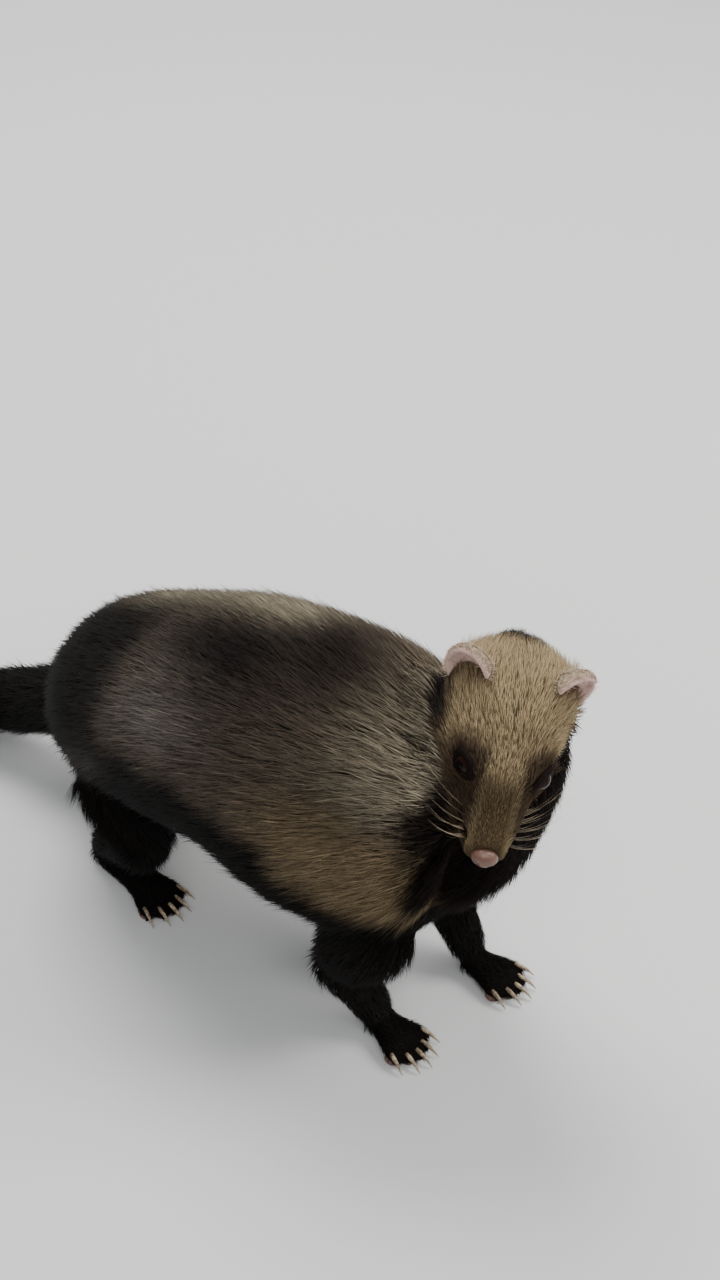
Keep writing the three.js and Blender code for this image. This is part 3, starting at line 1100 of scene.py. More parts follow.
@dataclass
class Skin:
    """The one skin under the whole coat, from the lips to the tail's tip."""

    body: BodyMap
    markings: Markings
    voxel: float = 1.25
    swell: float = 0.5
    sunk: float = 0.3
    smoothing: int = 8
    shade: float = 0.55
    bare: float = 0.25
    eye_edges: tuple[float, float] = (4.5, 9.0)
    nose_at: Point = (50.6, 0, -3)
    nose_edges: tuple[float, float] = (4.0, 9.0)
    claw_margin: float = 3.0
    claw_reach: float = 2.4
    claw_top: float = 7.0

    def build(self) -> Object:
        """Fuses the solids, draws the skin in by the coat's depth, and colours it.

        Returns:
            The skin.
        """
        nodes = [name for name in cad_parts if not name.startswith(("eye_", "ear_", "nose"))]
        piece = joined_solids("skin", nodes, self.swell)
        remeshed(piece, self.voxel, self.smoothing)
        mesh = piece.data
        places = vertex_places(mesh)
        reading = self.body.read(places)
        depth = reading.depth * self.covered(places) + self.sunk
        places = self.blunted(places - vertex_normals(mesh) * depth[:, None])
        mesh.vertices.foreach_set("co", packed(places).astype(np.float32).ravel())
        mesh.update()
        paint_attribute(mesh, self.markings.paint(places, reading) * self.shade)
        return dressed(piece, HIDE, "flank_coat", *nodes)

    def blunted(self, places: Array) -> Array:
        """Ends the skin at each toe's tip, where the separate claws start.

        Args:
            places: the skin's vertices in drawn millimetres.

        Returns:
            The vertices, with those of the solids' own claws drawn back.
        """
        places = places.copy()
        for plan, side_name in LEGS:
            for start, way in Foot(plan, side_name).drawn_toes():
                ahead = (places - start) @ way
                off = np.linalg.norm((places - start - ahead[:, None] * way)[:, :2], axis=1)
                near = (off < self.claw_reach) & (places[:, 2] < self.claw_top)
                claw = near & (ahead > plan.toe) & (ahead < plan.toe + plan.claw + self.claw_margin)
                places[claw] -= way * (ahead[claw] - plan.toe)[:, None]
        return places

    def covered(self, places: Array) -> Array:
        """Works out how much of the coat's full depth each place has.

        It has little round the eyes and the nose, and as far behind the ears as the eyes are ahead of them.

        Args:
            places: rows of points in drawn millimetres.

        Returns:
            A share for each point.
        """
        local = HEAD.local(places)
        eye = np.linalg.norm(np.abs(local) * [1, 1, 0] + local * [0, 0, 1] - np.array(HEAD.eye), axis=1)
        nose = np.linalg.norm(local - np.array(self.nose_at), axis=1)
        furred = np.minimum(smooth_step(eye, *self.eye_edges), smooth_step(nose, *self.nose_edges))
        return self.bare + (1 - self.bare) * furred


@dataclass(frozen=True)
class Tuft:
    """The shape of one lock of hair: a flat three-sided spindle that can bend once."""

    bend: float = 0.42
    root_width: float = 0.75
    growth: float = 0.9
    widest: float = 0.35
    top_width: float = 1.06
    flat: float = 0.6

    def shape(self) -> tuple[Array, Array]:
        """Shapes a tuft from z 0 at its root to z 1 at its tip.

        Returns:
            Its vertices and its triangles.
        """
        bm = bmesh.new()
        bmesh.ops.create_cone(bm, cap_ends=True, segments=3, radius1=0.5, radius2=0.0, depth=1.0)
        bmesh.ops.remove_doubles(bm, verts=bm.verts, dist=1e-5)
        bmesh.ops.translate(bm, verts=bm.verts, vec=(0, 0, 0.5))
        whole = bm.verts[:] + bm.edges[:] + bm.faces[:]
        bmesh.ops.bisect_plane(bm, geom=whole, plane_co=(0, 0, self.bend), plane_no=(0, 0, 1))
        for vert in bm.verts:
            z = vert.co.z
            wide = self.root_width + self.growth * z
            if z >= self.widest:
                wide = self.top_width * (1 - z) / (1 - self.widest)
            vert.co.x *= wide / max(1 - z, 1e-6)
            vert.co.y *= self.flat * wide / max(1 - z, 1e-6)
        bmesh.ops.triangulate(bm, faces=bm.faces)
        bm.verts.ensure_lookup_table()
        verts = np.array([vert.co for vert in bm.verts])
        tris = np.array([[vert.index for vert in face.verts] for face in bm.faces])
        bm.free()
        return verts, tris


@dataclass(frozen=True)
class Pelage:
    """How the coat grows over one region."""

    density: float
    width: float
    spread: float
    lift: float
    guard: float
    contrast: float
    slot: str


PELAGES = {
    Region.HEAD: Pelage(3.4, 0.34, 0.1, 1.0, 0.22, 0.16, "cream_coat"),
    Region.NECK: Pelage(2.2, 0.5, 0.12, 1.05, 0.4, 0.3, "dark_coat"),
    Region.TRUNK: Pelage(2.0, 0.54, 0.1, 1.05, 0.42, 0.28, "flank_coat"),
    Region.TAIL: Pelage(2.0, 0.52, 0.16, 1.15, 0.4, 0.3, "dark_coat"),
    Region.UPPER_LEG: Pelage(2.0, 0.5, 0.14, 1.05, 0.4, 0.3, "dark_coat"),
    Region.LOWER_LEG: Pelage(2.2, 0.4, 0.12, 1.0, 0.3, 0.25, "dark_coat"),
    Region.PAW: Pelage(2.0, 0.36, 0.12, 1.0, 0.2, 0.2, "dark_coat"),
}


@dataclass
class Locks:
    """Many locks of hair, one row each, that become one mesh."""

    roots: Array
    normals: Array
    lie: Array
    length: Array
    rise: Array
    width: Array
    curl: Array
    colour: Array
    chart: Array
    sunk: float = 0.4
    plump: float = 0.7
    patch: float = 0.003
    floor: float = 0.25
    root_shade: float = 0.6
    tip_gain: float = 0.5

    def places(self, template: Array) -> Array:
        """Lays the template along every lock.

        Args:
            template: the vertices of one tuft.

        Returns:
            For each lock, the places of its vertices in drawn millimetres.
        """
        x, y, z = template.T[:, None]
        lie = unit(self.lie - self.normals * (self.lie * self.normals).sum(1, keepdims=True))
        across = np.cross(lie, self.normals)
        width, length = self.width[:, None], self.length[:, None]
        height = self.rise[:, None] * (1 - (1 - z) ** 2) - self.sunk + self.plump * width * y
        sway = width * x + (self.curl * self.length)[:, None] * z**2
        moves = ((length * z, lie), (height, self.normals), (sway, across))
        points = self.roots[:, None] + sum(far[..., None] * way[:, None] for far, way in moves)
        points[..., 2] = np.maximum(points[..., 2], self.floor)
        return points

    def build(self, name: str, slot: str) -> Object:
        """Shapes every lock from one template and joins them.

        Args:
            name: the piece's name.
            slot: the name of its material slot.

        Returns:
            The piece.
        """
        template, tris = Tuft().shape()
        points = self.places(template)
        starts = np.arange(len(self.roots)) * len(template)
        corners = (tris[None] + starts[:, None, None]).reshape(-1)
        mesh = bpy.data.meshes.new(name)
        mesh.vertices.add(points.size // 3)
        mesh.vertices.foreach_set("co", packed(points.reshape(-1, 3)).astype(np.float32).ravel())
        mesh.loops.add(len(corners))
        mesh.loops.foreach_set("vertex_index", corners.astype(np.int32))
        mesh.polygons.add(len(corners) // 3)
        mesh.polygons.foreach_set("loop_start", np.arange(0, len(corners), 3, dtype=np.int32))
        mesh.update(calc_edges=True)

        patches = self.chart[:, None] + (template[None, :, [0, 2]] - [0, 0.5]) * self.patch
        layer = mesh.uv_layers.new(name="OFBake")
        layer.data.foreach_set("uv", patches.reshape(-1, 2)[corners].astype(np.float32).ravel())
        shades = (self.root_shade + self.tip_gain * template[:, 2])[None, :, None]
        paint_attribute(mesh, (self.colour[:, None] * shades).reshape(-1, 3))
        return dressed(linked(name, mesh), HAIR, slot)


def scattered(mesh: Mesh, density: Array, rng: np.random.Generator) -> tuple[Array, Array]:
    """Scatters roots over a mesh.

    Args:
        mesh: the skin.
        density: roots to the square millimetre on each of its triangles.
        rng: the source of chance.

    Returns:
        The roots in drawn millimetres and the skin's normals there.
    """
    corners = triangle_corners(mesh)
    places, normals = vertex_places(mesh), vertex_normals(mesh)
    a, b, c = (places[corners[:, i]] for i in range(3))
    area = np.linalg.norm(np.cross(b - a, c - a), axis=1) / 2
    which = np.repeat(np.arange(len(area)), rng.poisson(area * density))
    s, t = rng.random((2, len(which), 1))
    s, t = np.where(s + t > 1, 1 - s, s), np.where(s + t > 1, 1 - t, t)
    shares = (1 - s - t, s, t)
    root = sum(places[corners[which, i]] * share for i, share in enumerate(shares))
    normal = sum(normals[corners[which, i]] * share for i, share in enumerate(shares))
    return root, unit(normal)


@dataclass
class Coat:
    """The coat, as locks of hair that overlap from the nose to the tail."""

    body: BodyMap
    markings: Markings
    piece_limit: int = 18500
    droop: float = 0.28
    stray: float = 0.03
    eye_clear: float = 4.4
    eye_ahead: float = 0.7
    nose_clear: float = 3.6
    nose_at: Point = (51.3, 0, -2.0)
    nose_shape: Point = (1, 1.2, 0.95)
    lip_clear: float = 0.7
    sole_clear: float = 1.2
    ear_sunk: float = 5.0
    ear_reach: float = 6.0
    ear_longer: float = 1.2
    ear_higher: float = 1.4
    wander: float = 1.3
    tones: float = 0.14
    down_gain: float = 0.6
    guard_length: float = 1.18
    down_length: float = 0.95
    guard_width: float = 0.85
    down_width: float = 1.1
    stray_rise: float = 1.25
    lengths: tuple[float, float] = (0.72, 1.05)
    rises: tuple[float, float] = (0.8, 1.12)
    widths: tuple[float, float] = (0.75, 1.25)
    curl: float = 0.07

    def grow(self, skin: Object) -> list[Object]:
        """Covers the skin with locks, in pieces small enough to export whole.

        Args:
            skin: the skin that they are rooted in.

        Returns:
            The coat's pieces.
        """
        rng = np.random.default_rng(SEED)
        roots, normals = scattered(skin.data, self.density(skin.data), rng)
        reading = self.body.read(roots)
        made = []
        for region, pelage in PELAGES.items():
            chosen = np.flatnonzero(reading.region == region.value)
            chosen = chosen[np.argsort(reading.share[chosen] + 10 * reading.run[chosen], kind="stable")]
            parts = max(1, math.ceil(len(chosen) / self.piece_limit))
            for number, part in enumerate(np.array_split(chosen, parts), start=1):
                locks = self.locks(region, roots[part], normals[part], rng)
                made.append(locks.build(f"coat_{region.value}_{number}", pelage.slot))
        return made

    def density(self, mesh: Mesh) -> Array:
        """Works out how densely each of the skin's triangles is haired.

        Args:
            mesh: the skin.

        Returns:
            Roots to the square millimetre, one value to a triangle.
        """
        middle = vertex_places(mesh)[triangle_corners(mesh)].mean(axis=1)
        region = self.body.read(middle).region
        dense = sum(pelage.density * (region == kind.value) for kind, pelage in PELAGES.items())
        return dense * self.haired(middle)

    def haired(self, places: Array) -> Array:
        """Finds where hair grows: not in the eyes, on the nose, between the lips, or under the soles.

        Args:
            places: rows of points in drawn millimetres.

        Returns:
            Whether each point is haired.
        """
        local = HEAD.local(places)
        eye = np.linalg.norm(HEAD.folded(places) - np.array(HEAD.eye) - [self.eye_ahead, 0, 0], axis=1)
        nose = np.linalg.norm((local - np.array(self.nose_at)) / self.nose_shape, axis=1)
        lip = np.linalg.norm(local[:, None] - np.array(Lips().path())[None], axis=2).min(axis=1)
        on_face = (eye > self.eye_clear) & (nose > self.nose_clear) & (lip > self.lip_clear)
        return on_face & (places[:, 2] > self.sole_clear)

    def at_ear(self, places: Array) -> Array:
        """Says how near points are to the root of an ear, from 0 to 1."""
        root = np.array(HEAD.ear_at) - self.ear_sunk * unit(np.array(HEAD.ear_rise))
        return np.exp(-((np.linalg.norm(HEAD.folded(places) - root, axis=1) / self.ear_reach) ** 2))

    def locks(self, region: Region, roots: Array, normals: Array, rng: np.random.Generator) -> Locks:
        """Chooses every lock's lie, size and colour.

        Args:
            region: the region that they cover.
            roots: where they are rooted, in drawn millimetres.
            normals: the skin's normals there.
            rng: the source of chance.

        Returns:
            The locks.
        """
        pelage = PELAGES[region]
        reading = self.body.read(roots)
        count = len(roots)
        steep = np.sqrt(np.clip(1 - normals[:, 2] ** 2, 0, 1))[:, None]
        droop = self.droop * (region in (Region.TRUNK, Region.NECK))
        wander = self.markings.sway(roots) * self.wander + rng.normal(0, 1, (count, 3))
        guard = rng.random(count) < pelage.guard
        stray = rng.random(count) < self.stray
        at_ear = self.at_ear(roots)
        tone = np.where(guard, 1 - pelage.contrast, 1 + self.down_gain * pelage.contrast)
        lightness = rng.lognormal(0, self.tones, count) * tone
        longer = np.where(guard, self.guard_length, self.down_length) * (1 + self.ear_longer * at_ear)
        higher = np.where(stray, self.stray_rise, 1 + self.ear_higher * at_ear)
        wider = np.where(guard, self.guard_width, self.down_width)
        return Locks(
            roots=roots,
            normals=normals,
            lie=reading.lie - np.array(UP) * droop * steep + wander * pelage.spread,
            length=reading.length * rng.uniform(*self.lengths, count) * longer,
            rise=reading.depth * pelage.lift * rng.uniform(*self.rises, count) * higher,
            width=pelage.width * rng.uniform(*self.widths, count) * wider,
            curl=rng.normal(0, self.curl, count),
            colour=self.markings.paint(roots, reading) * lightness[:, None],
            chart=self.body.chart_places(roots, reading),
        )


def turned_to(look: Array, rise: Array) -> Matrix:
    """Works out the turn that brings +X onto look, and +Z as near as it goes to rise.

    Args:
        look: the wanted +X.
        rise: the wanted +Z.

    Returns:
        A 4 by 4 turn.
    """
    x = Vector(look).normalized()
    y = Vector(rise).cross(x).normalized()
    return Matrix((x, y, x.cross(y))).transposed().to_4x4()


def mirrored(point: Point, side: float) -> Vector:
    """Mirrors a point of the left half of the head for the right half."""
    return Vector((point[0], side * point[1], point[2]))


def tube(path: list[Vector], radii: list[float], sides: int, flat: float = 1.0) -> BMesh:
    """Draws a closed tapering rod along a path.

    Args:
        path: the points of its middle line.
        radii: its radius at each point.
        sides: how many faces go round it.
        flat: how thick it is from side to side, against its height.

    Returns:
        The rod.
    """
    stands = []
    for i, (point, radius) in enumerate(zip(path, radii)):
        ahead = path[min(i + 1, len(path) - 1)] - path[max(i - 1, 0)]
        turn = turned_to(ahead, UP) @ Matrix.Rotation(math.pi / 2, 4, "Y")
        size = Matrix.Diagonal((radius, radius * flat, radius, 1))
        stands.append(Matrix.Translation(point) @ turn @ size)
    bm = bmesh.new()
    bmesh.ops.create_circle(bm, cap_ends=True, segments=sides, radius=1)
    bmesh.ops.transform(bm, verts=bm.verts, matrix=stands[0])
    cap = bm.faces[:]
    for old, new in zip(stands, stands[1:]):
        made = bmesh.ops.extrude_face_region(bm, geom=cap)["geom"]
        cap = [part for part in made if isinstance(part, bmesh.types.BMFace)]
        moved = [part for part in made if isinstance(part, bmesh.types.BMVert)]
        bmesh.ops.transform(bm, verts=moved, matrix=new @ old.inverted())
    return bm


@dataclass
class Eye:
    """One eye: the ball and the rolled dark lids round it."""

    side_name: str
    dome: float = 1.05
    opening: float = 3.4
    lid: float = 1.15
    lid_depth: float = 1.5
    lid_ahead: float = 0.5
    almond: float = 1.16
    corner_pinch: float = 0.2
    corner_back: float = 0.9

    def build(self) -> list[Object]:
        """Makes the ball and its lids.

        Returns:
            The two pieces.
        """
        side = SIDES[self.side_name]
        middle = mirrored(HEAD.eye, side)
        look = mirrored(HEAD.eye_look, side).normalized()
        return [self.ball(middle, look), self.lids(middle, look)]

    def ball(self, middle: Vector, look: Vector) -> Object:
        """Makes the eyeball with its slightly domed front.

        Args:
            middle: its middle, in the head's frame.
            look: the way that it looks.

        Returns:
            The piece.
        """
        radius = HEAD.eye_radius
        bm = bmesh.new()
        bmesh.ops.create_uvsphere(bm, u_segments=40, v_segments=28, radius=radius)
        bmesh.ops.rotate(bm, verts=bm.verts, matrix=Matrix.Rotation(math.pi / 2, 3, "Y"))
        for vert in bm.verts:
            vert.co.x *= 1 + (self.dome - 1) * max(0.0, vert.co.x / radius) ** 6
        placed = HEAD.matrix() @ (Matrix.Translation(middle) @ turned_to(look, UP))
        bmesh.ops.transform(bm, verts=bm.verts, matrix=placed)
        front = packed(np.array(HEAD.matrix() @ (middle + look * radius * self.dome)))
        finish = EyeFinish(f"wet eye {self.side_name}", tuple(front))
        return dressed(finished(f"eyeball_{self.side_name}", bm), finish, "eye", f"eye_{self.side_name}")

    def lids(self, middle: Vector, look: Vector) -> Object:
        """Makes the upper and lower lid as one rolled rim that comes to a corner at each end.

        Args:
            middle: the eye's middle, in the head's frame.
            look: the way that it looks.

        Returns:
            The piece.
        """
        bm = bmesh.new()
        bmesh.ops.create_circle(bm, segments=12, radius=self.lid)
        bmesh.ops.scale(bm, verts=bm.verts, vec=(self.lid_depth, 1, 1))
        for axis in "XY":
            bmesh.ops.rotate(bm, verts=bm.verts, matrix=Matrix.Rotation(math.pi / 2, 3, axis))
        bmesh.ops.translate(bm, verts=bm.verts, vec=(0, 0, self.opening))
        ring = {"cent": (0, 0, 0), "axis": (1, 0, 0), "angle": 2 * math.pi, "steps": 36, "use_merge": True}
        bmesh.ops.spin(bm, geom=bm.edges[:], **ring)
        bmesh.ops.remove_doubles(bm, verts=bm.verts, dist=0.001)
        for vert in bm.verts:
            corner = abs(vert.co.y) / (self.opening + self.lid)
            vert.co.z *= (1 - self.corner_pinch * corner**2) / self.almond
            vert.co.y *= self.almond
            vert.co.x -= self.corner_back * corner**3
        placed = Matrix.Translation(middle + look * HEAD.eye_radius * self.lid_ahead)
        bmesh.ops.transform(bm, verts=bm.verts, matrix=HEAD.matrix() @ placed @ turned_to(look, UP))
        return dressed(finished(f"lids_{self.side_name}", bm), LID_SKIN, "nose_skin")


@dataclass
class Nose:
    """The bare nose pad, rounded from its solid with the nostrils kept open."""

    swell: float = 0.1
    voxel: float = 0.24
    smoothing: int = 5

    def build(self) -> Object:
        """Makes the nose.

        Returns:
            The piece.
        """
        piece = joined_solids("nose_pad", ["nose"], self.swell)
        remeshed(piece, self.voxel, self.smoothing)
        return dressed(piece, MOIST, "nose_skin", "nose")


@dataclass
class Ear:
    """One ear: a thin cup of skin, bare and pink inside, haired on its back and rim."""

    side_name: str
    swell: float = 0.15
    voxel: float = 0.4
    smoothing: int = 5
    fold_reach: tuple[float, float] = (4.0, 3.4)
    fold_turn: tuple[float, float] = (-150.0, 60.0)
    fold_points: int = 12
    fold_thick: float = 0.62
    fold_end: float = 0.3
    fold_sides: int = 10
    shade: float = 0.75
    shade_edges: tuple[float, float] = (2.0, 7.0)
    back_density: float = 5.0
    inner_density: float = 1.6
    inner_edges: tuple[float, float] = (-0.1, 0.4)
    inner_least: float = 0.4
    rim_edges: tuple[float, float] = (6.0, 8.5)
    root_below: float = 6.0
    length: float = 2.4
    lengths: tuple[float, float] = (0.7, 1.2)
    width: float = 0.2
    widths: tuple[float, float] = (0.8, 1.2)
    rise: float = 0.55
    rises: tuple[float, float] = (0.7, 1.3)
    wander: float = 0.16
    curl: float = 0.08
    tones: tuple[float, float] = (0.2, 0.15)
    sunk: float = 0.1
    chart_at: tuple[float, float] = (0.57, 0.36)
    chart_step: float = 0.12
    chart_scale: tuple[float, float] = (0.015, 0.006)

    def __post_init__(self) -> None:
        """Works out the cup's middle, the way it opens and the way to its top, in the drawn frame."""
        side = SIDES[self.side_name]
        ways = (mirrored(way, side) for way in (HEAD.ear_look, HEAD.ear_rise))
        self.middle = HEAD.place(mirrored(HEAD.ear_at, side))
        self.look, self.up = (HEAD.turn() @ unit(np.array(way)) for way in ways)

    def build(self) -> list[Object]:
        """Makes the ear's skin and its short hair.

        Returns:
            The two pieces.
        """
        node = f"ear_{self.side_name}"
        piece = joined_solids(f"ear_skin_{self.side_name}", [node], self.swell)
        self.add_fold(piece)
        remeshed(piece, self.voxel, self.smoothing)
        mesh = piece.data
        paint_attribute(mesh, self.colours(vertex_places(mesh), vertex_normals(mesh)))
        return [dressed(piece, EAR_HIDE, "ear_skin", node), self.hair(mesh)]

    def add_fold(self, piece: Object) -> None:
        """Adds the curved fold that lies inside the cup, before the ear is made one surface.

        Args:
            piece: the ear's closed solid; the fold is joined to it.
        """
        side = np.cross(self.look, self.up) * SIDES[self.side_name]
        path = []
        for turn in np.radians(np.linspace(*self.fold_turn, self.fold_points)):
            reach = np.array([math.cos(turn), math.sin(turn)]) * self.fold_reach
            over = self.middle + self.up * reach[0] + side * reach[1] + self.look * 20
            found, place, _, _ = piece.ray_cast(Vector(packed(over)), Vector(-self.look))
            if found:
                path.append(Vector(np.array(place) / MM - OFFSET))
        taper = [math.sin(math.pi * (i + 0.5) / len(path)) for i in range(len(path))]
        radii = [self.fold_thick * (self.fold_end + (1 - self.fold_end) * share) for share in taper]
        fold = finished("fold", tube(path, radii, self.fold_sides))
        merged = bmesh.new()
        for mesh in (piece.data, fold.data):
            merged.from_mesh(mesh)
        merged.to_mesh(piece.data)
        merged.free()
        bpy.data.objects.remove(fold)

    def colours(self, places: Array, normals: Array) -> Array:
        """Colours the ear: pale at the rim and back, pink inside, darker towards its depth.

        Args:
            places: rows of points in drawn millimetres.
            normals: the surface's normals there.

        Returns:
            Linear colours.
        """
        inner = smooth_step(normals @ self.look, 0.0, 0.5)[:, None]
        tint = Tint.EAR_RIM.light() + (Tint.EAR_SKIN.light() - Tint.EAR_RIM.light()) * inner
        open_air = smooth_step(np.linalg.norm(places - self.middle, axis=1), *self.shade_edges)
        return tint * (self.shade + (1 - self.shade) * open_air)[:, None]

    def hair(self, skin: Mesh) -> Object:
        """Grows the ear's short hair, dense on the back and thin inside the cup.

        Args:
            skin: the ear's skin.

        Returns:
            The piece.
        """
        rng = np.random.default_rng(SEED + 2)
        corners = triangle_corners(skin)
        middles, facing = (read(skin)[corners].mean(axis=1) for read in (vertex_places, vertex_normals))
        inner = smooth_step(facing @ self.look, *self.inner_edges)
        rim = smooth_step(np.linalg.norm(middles - self.middle, axis=1), *self.rim_edges)
        thin = self.inner_density * (self.inner_least + rim)
        density = self.back_density + (thin - self.back_density) * inner
        roots, out = scattered(skin, density, rng)
        count = len(roots)
        away = unit(roots - self.middle + self.up * self.root_below)
        turn = np.arctan2(away @ np.cross(self.look, self.up), away @ self.up)
        corner = np.array(self.chart_at) + [self.chart_step * (SIDES[self.side_name] < 0), 0]
        depth = (roots - self.middle) @ self.look
        locks = Locks(
            roots=roots,
            normals=out,
            lie=away + rng.normal(0, self.wander, (count, 3)),
            length=self.length * rng.uniform(*self.lengths, count),
            rise=self.rise * rng.uniform(*self.rises, count),
            width=self.width * rng.uniform(*self.widths, count),
            curl=rng.normal(0, self.curl, count),
            colour=self.colours(roots, out) * rng.lognormal(*self.tones, (count, 1)),
            chart=corner + np.stack([turn, depth], axis=1) * self.chart_scale,
            sunk=self.sunk,
        )
        return locks.build(f"coat_ear_{self.side_name}", "cream_coat")


@dataclass
class Foot:
    """The bare parts of one foot: its claws and the pads under it."""

    plan: LegPlan
    side_name: str
    toes: tuple[float, ...] = (-1.0, -0.5, 0.0, 0.5, 1.0)
    splay: float = 16.0
    setback: float = 4.5
    toe_root: float = 0.92
    toe_inset: float = 0.75
    toe_tip: float = 0.72
    claw_sunk: float = 0.3
    claw_radius: float = 1.15
    claw_taper: float = 0.9
    claw_blunt: float = 1.6
    claw_flat: float = 0.72
    claw_height: float = 1.3
    claw_lift: float = 0.9
    claw_drop: float = 4.0
    claw_shares: tuple[float, ...] = (0.0, 0.25, 0.5, 0.72, 0.88, 1.0)
    toe_pad: Point = (2.7, 2.1, 1.9)
    broad_pad: Point = (4.6, 6.0, 2.2)
    broad_at: float = 0.8
    heel_pad: Point = (5.2, 4.2, 2.2)
    heel_at: float = 1.0
    long_sole: float = 20.0
    pad_height: float = 0.75

    def toe_lines(self) -> list[tuple[Vector, Vector]]:
        """Lists where each toe starts and the way it points.

        Returns:
            A start and a direction for each toe, in the foot's own frame.
        """
        lines = []
        for across in self.toes:
            splay = math.radians(across * self.splay)
            ahead = self.plan.sole * self.toe_root - self.setback * across * across
            aside = across * (self.plan.width - self.plan.toe_radius * self.toe_inset)
            start = Vector((ahead, aside, 0))
            lines.append((start, Vector((math.cos(splay), math.sin(splay), 0))))
        return lines

    def drawn_toes(self) -> list[tuple[Array, Array]]:
        """Gives the toes' starts and directions in the drawn frame."""
        matrix = self.plan.foot_frame(SIDES[self.side_name])
        return [(np.array(matrix @ at), np.array(matrix.to_3x3() @ way)) for at, way in self.toe_lines()]

    def piece(self, name: str, parts: list[BMesh], finish: Finish) -> Object:
        """Sets parts on the foot as one piece.

        Args:
            name: what the parts are.
            parts: the shapes, in the foot's own frame.
            finish: what they are made of.

        Returns:
            The piece.
        """
        whole = gathered(parts, self.plan.foot_frame(SIDES[self.side_name]))
        return dressed(finished(f"{name}_{self.plan.name}_{self.side_name}", whole), finish, "nose_skin")

    def claws(self) -> Object:
        """Makes the five claws: tapered, bent down, and a little flat from side to side.

        Returns:
            The piece.
        """
        plan = self.plan
        reach = plan.claw + plan.toe * self.claw_sunk
        height = plan.toe_radius * self.claw_height
        radii = [self.claw_radius * (1 - self.claw_taper * s**self.claw_blunt) for s in self.claw_shares]
        rods = []
        for start, way in self.toe_lines():
            path = [start + way * (plan.toe * self.toe_tip + reach * share) for share in self.claw_shares]
            for point, share in zip(path, self.claw_shares):
                point.z += height + self.claw_lift * share - self.claw_drop * share**2
            rods.append(tube(path, radii, 10, flat=self.claw_flat))
        return self.piece("claws", rods, HORN)

    def pads(self) -> Object:
        """Makes the pads that stand on the floor: one under each toe, a broad one and a heel.

        Returns:
            The piece.
        """
        plan = self.plan
        spots = [(start + way * plan.toe * self.toe_tip, self.toe_pad) for start, way in self.toe_lines()]
        spots.append((Vector((plan.sole * self.broad_at, 0, 0)), self.broad_pad))
        if plan.sole > self.long_sole:
            spots.append((Vector((self.heel_at, 0, 0)), self.heel_pad))
        cushions = []
        for middle, size in spots:
            bm = bmesh.new()
            bmesh.ops.create_uvsphere(bm, u_segments=20, v_segments=12, radius=1.0)
            bmesh.ops.scale(bm, verts=bm.verts, vec=size)
            bmesh.ops.translate(bm, verts=bm.verts, vec=middle + UP * size[2] * self.pad_height)
            for vert in bm.verts:
                vert.co.z = max(vert.co.z, 0.0)
            cushions.append(bm)
        return self.piece("pads", cushions, PAD_SKIN)


@dataclass
class Whiskers:
    """The long stiff hairs of the upper lip, in rows on each side."""

    rows: int = 4
    each: int = 5
    length: float = 25.0
    thick: float = 0.085
    taper: float = 0.85
    front: Point = (46, 7.0, -2.4)
    next_back: Point = (-2.3, 0.3, 0)
    next_row: Point = (-0.6, 0, -1.5)
    way: Point = (0.1, 1, 0.12)
    turn_back: float = 0.14
    turn_down: float = 0.2
    growth: tuple[float, float] = (0.5, 0.1)
    reaches: tuple[float, float] = (0.8, 1.15)
    swept: Point = (-0.34, -0.1, -0.16)
    shares: tuple[float, ...] = (0.0, 0.2, 0.4, 0.6, 0.8, 1.0)

    def build(self) -> Object:
        """Makes all the whiskers as one piece.

        Returns:
            The piece.
        """
        rng = np.random.default_rng(SEED + 1)
        hairs = []
        for side in SIDES.values():
            for row in range(self.rows):
                for number in range(self.each):
                    stepped = np.array(self.next_back) * number + np.array(self.next_row) * row
                    root = self.front + stepped
                    way = np.array(self.way) - [self.turn_back * number, 0, self.turn_down * row]
                    longer = self.growth[0] + self.growth[1] * number
                    reach = self.length * longer * rng.uniform(*self.reaches)
                    hairs.append(self.hair(mirrored(root, side), mirrored(way, side), reach, side))
        return dressed(finished("whiskers", gathered(hairs, HEAD.matrix())), BRISTLE, "cream_coat")

    def hair(self, root: Vector, way: Vector, reach: float, side: float) -> BMesh:
        """Draws one whisker, tapered and swept back towards its tip.

        Args:
            root: where it grows, in the head's frame.
            way: the way it leaves the lip, of any length.
            reach: its length.
            side: 1 for the left lip and -1 for the right.

        Returns:
            The whisker.
        """
        way = way.normalized()
        swept = mirrored(self.swept, side) * reach
        path = [root + way * reach * share + swept * share**2 for share in self.shares]
        return tube(path, [self.thick * (1 - self.taper * share) for share in self.shares], 5)


@dataclass
class Lips:
    """The dark line between the lips, from one corner of the mouth round the front to the other."""

    left_half: tuple[Point, ...] = (
        (22, 11.9, -11.4),
        (26.5, 10.6, -10.8),
        (31, 9.2, -10.2),
        (36, 8.4, -9.8),
        (41, 7.7, -9.4),
        (45, 6.8, -9.1),
        (48.2, 4.8, -8.8),
        (49.8, 2.4, -8.5),
    )
    middle: Point = (50.4, 0, -8.2)
    radius: float = 0.62
    corner: float = 0.35
    fullness: float = 0.3

    def path(self) -> list[Vector]:
        """Lists the line's points in the head's frame.

        Returns:
            The points, from the left corner to the right.
        """
        left = [mirrored(point, 1) for point in self.left_half]
        right = [mirrored(point, -1) for point in reversed(self.left_half)]
        return [*left, Vector(self.middle), *right]

    def build(self) -> Object:
        """Makes the line.

        Returns:
            The piece.
        """
        path = self.path()
        swell = [math.sin(math.pi * i / (len(path) - 1)) ** self.fullness for i in range(len(path))]
        radii = [self.radius * (self.corner + (1 - self.corner) * share) for share in swell]
        line = gathered([tube(path, radii, 8)], HEAD.matrix())
        return dressed(finished("lips", line), LIP_SKIN, "nose_skin")


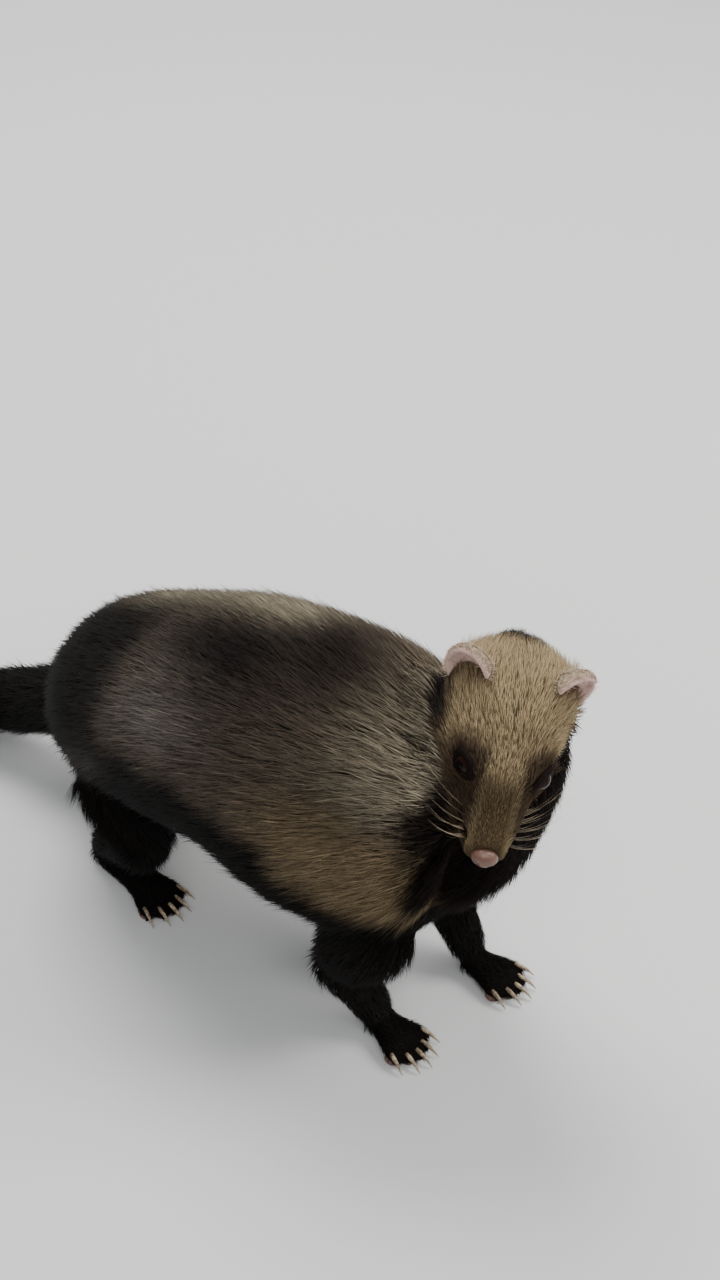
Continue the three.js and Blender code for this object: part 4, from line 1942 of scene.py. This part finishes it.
def stood_off(made: Object, target: Vector, azimuth: float, elevation: float, away: float) -> None:
    """Stands a lamp or the camera off a point and turns it to look there.

    Args:
        made: the lamp or camera.
        target: the point, in metres.
        azimuth: how far round the animal it stands, in degrees.
        elevation: how high it stands, in degrees.
        away: how far off it stands, in metres.
    """
    a, e = math.radians(azimuth), math.radians(elevation)
    back = Vector((math.sin(a) * math.cos(e), -math.cos(a) * math.cos(e), math.sin(e)))
    made.location = target + back * away
    made.rotation_mode = "QUATERNION"
    made.rotation_quaternion = (-back).to_track_quat("-Z", "Y")


@dataclass(frozen=True)
class Lamp:
    """A soft square light that points at the animal."""

    name: str
    azimuth: float
    elevation: float
    away: float
    size: float
    watts: float
    colour: Point

    def build(self, target: Vector) -> None:
        """Hangs the light.

        Args:
            target: the point that it lights, in metres.
        """
        data = bpy.data.lights.new(self.name, "AREA")
        data.energy = self.watts
        data.size = self.size
        data.color = self.colour
        stood_off(linked(self.name, data), target, self.azimuth, self.elevation, self.away)


@dataclass
class Studio:
    """The plain floor, the soft lights, and the camera at the photograph's angle."""

    azimuth: float = 40.0
    elevation: float = 40.0
    distance: float = 600.0
    focal_pixels: float = 1750.0
    frame_height: int = 1280
    sensor: float = 36.0
    target: Point = (4.823, 34.255, 111.578)
    lit_height: float = 0.08
    floor_reach: float = 4.0
    floor_colour: tuple[float, ...] = (0.62, 0.63, 0.64, 1)
    floor_roughness: float = 0.8
    sky_colour: tuple[float, ...] = (0.9, 0.92, 0.94, 1)
    sky_strength: float = 0.42
    lamps: tuple[Lamp, ...] = (
        Lamp("key", 235, 58, 1.5, 0.8, 26, (1.0, 0.98, 0.95)),
        Lamp("fill", 50, 50, 1.6, 1.2, 13, (1.0, 0.98, 0.95)),
        Lamp("side", 135, 40, 1.6, 0.7, 20, (1.0, 0.97, 0.93)),
    )

    def build(self) -> None:
        """Sets out the floor, lights, background and camera."""
        self.floor()
        for lamp in self.lamps:
            lamp.build(UP * self.lit_height)
        self.background()
        self.camera()

    def floor(self) -> None:
        """Lays the pale floor."""
        bm = bmesh.new()
        bmesh.ops.create_grid(bm, x_segments=1, y_segments=1, size=self.floor_reach)
        piece = mesh_object("floor", bm)
        sockets = {"Base Color": self.floor_colour, "Roughness": self.floor_roughness}
        piece.data.materials.append(Recipe("pale floor", sockets).material)

    def background(self) -> None:
        """Gives the room an even pale light."""
        world = bpy.data.worlds.new("studio")
        world.use_nodes = True
        sky = world.node_tree.nodes["Background"]
        sky.inputs["Color"].default_value = self.sky_colour
        sky.inputs["Strength"].default_value = self.sky_strength
        bpy.context.scene.world = world

    def camera(self) -> None:
        """Stands the camera where the photograph was taken from."""
        data = bpy.data.cameras.new("camera")
        data.sensor_width = self.sensor
        data.lens = self.sensor * self.focal_pixels / self.frame_height
        data.clip_start = 0.01
        data.clip_end = 20.0
        camera = linked("camera", data)
        target = Vector(packed(np.array(self.target)))
        stood_off(camera, target, self.azimuth, self.elevation, self.distance * MM)
        bpy.context.scene.camera = camera


def main() -> None:
    """Builds the studio and every piece of the ferret in order."""
    logging.basicConfig(level=logging.INFO, format="%(message)s")
    Studio().build()
    body = BodyMap(all_runs())
    markings = Markings()
    skin = Skin(body, markings).build()
    Coat(body, markings).grow(skin)
    for side_name in SIDES:
        Eye(side_name).build()
        Ear(side_name).build()
        for plan in (FORE, HIND):
            foot = Foot(plan, side_name)
            foot.claws()
            foot.pads()
    Nose().build()
    Lips().build()
    Whiskers().build()


if __name__ == "__main__":
    main()
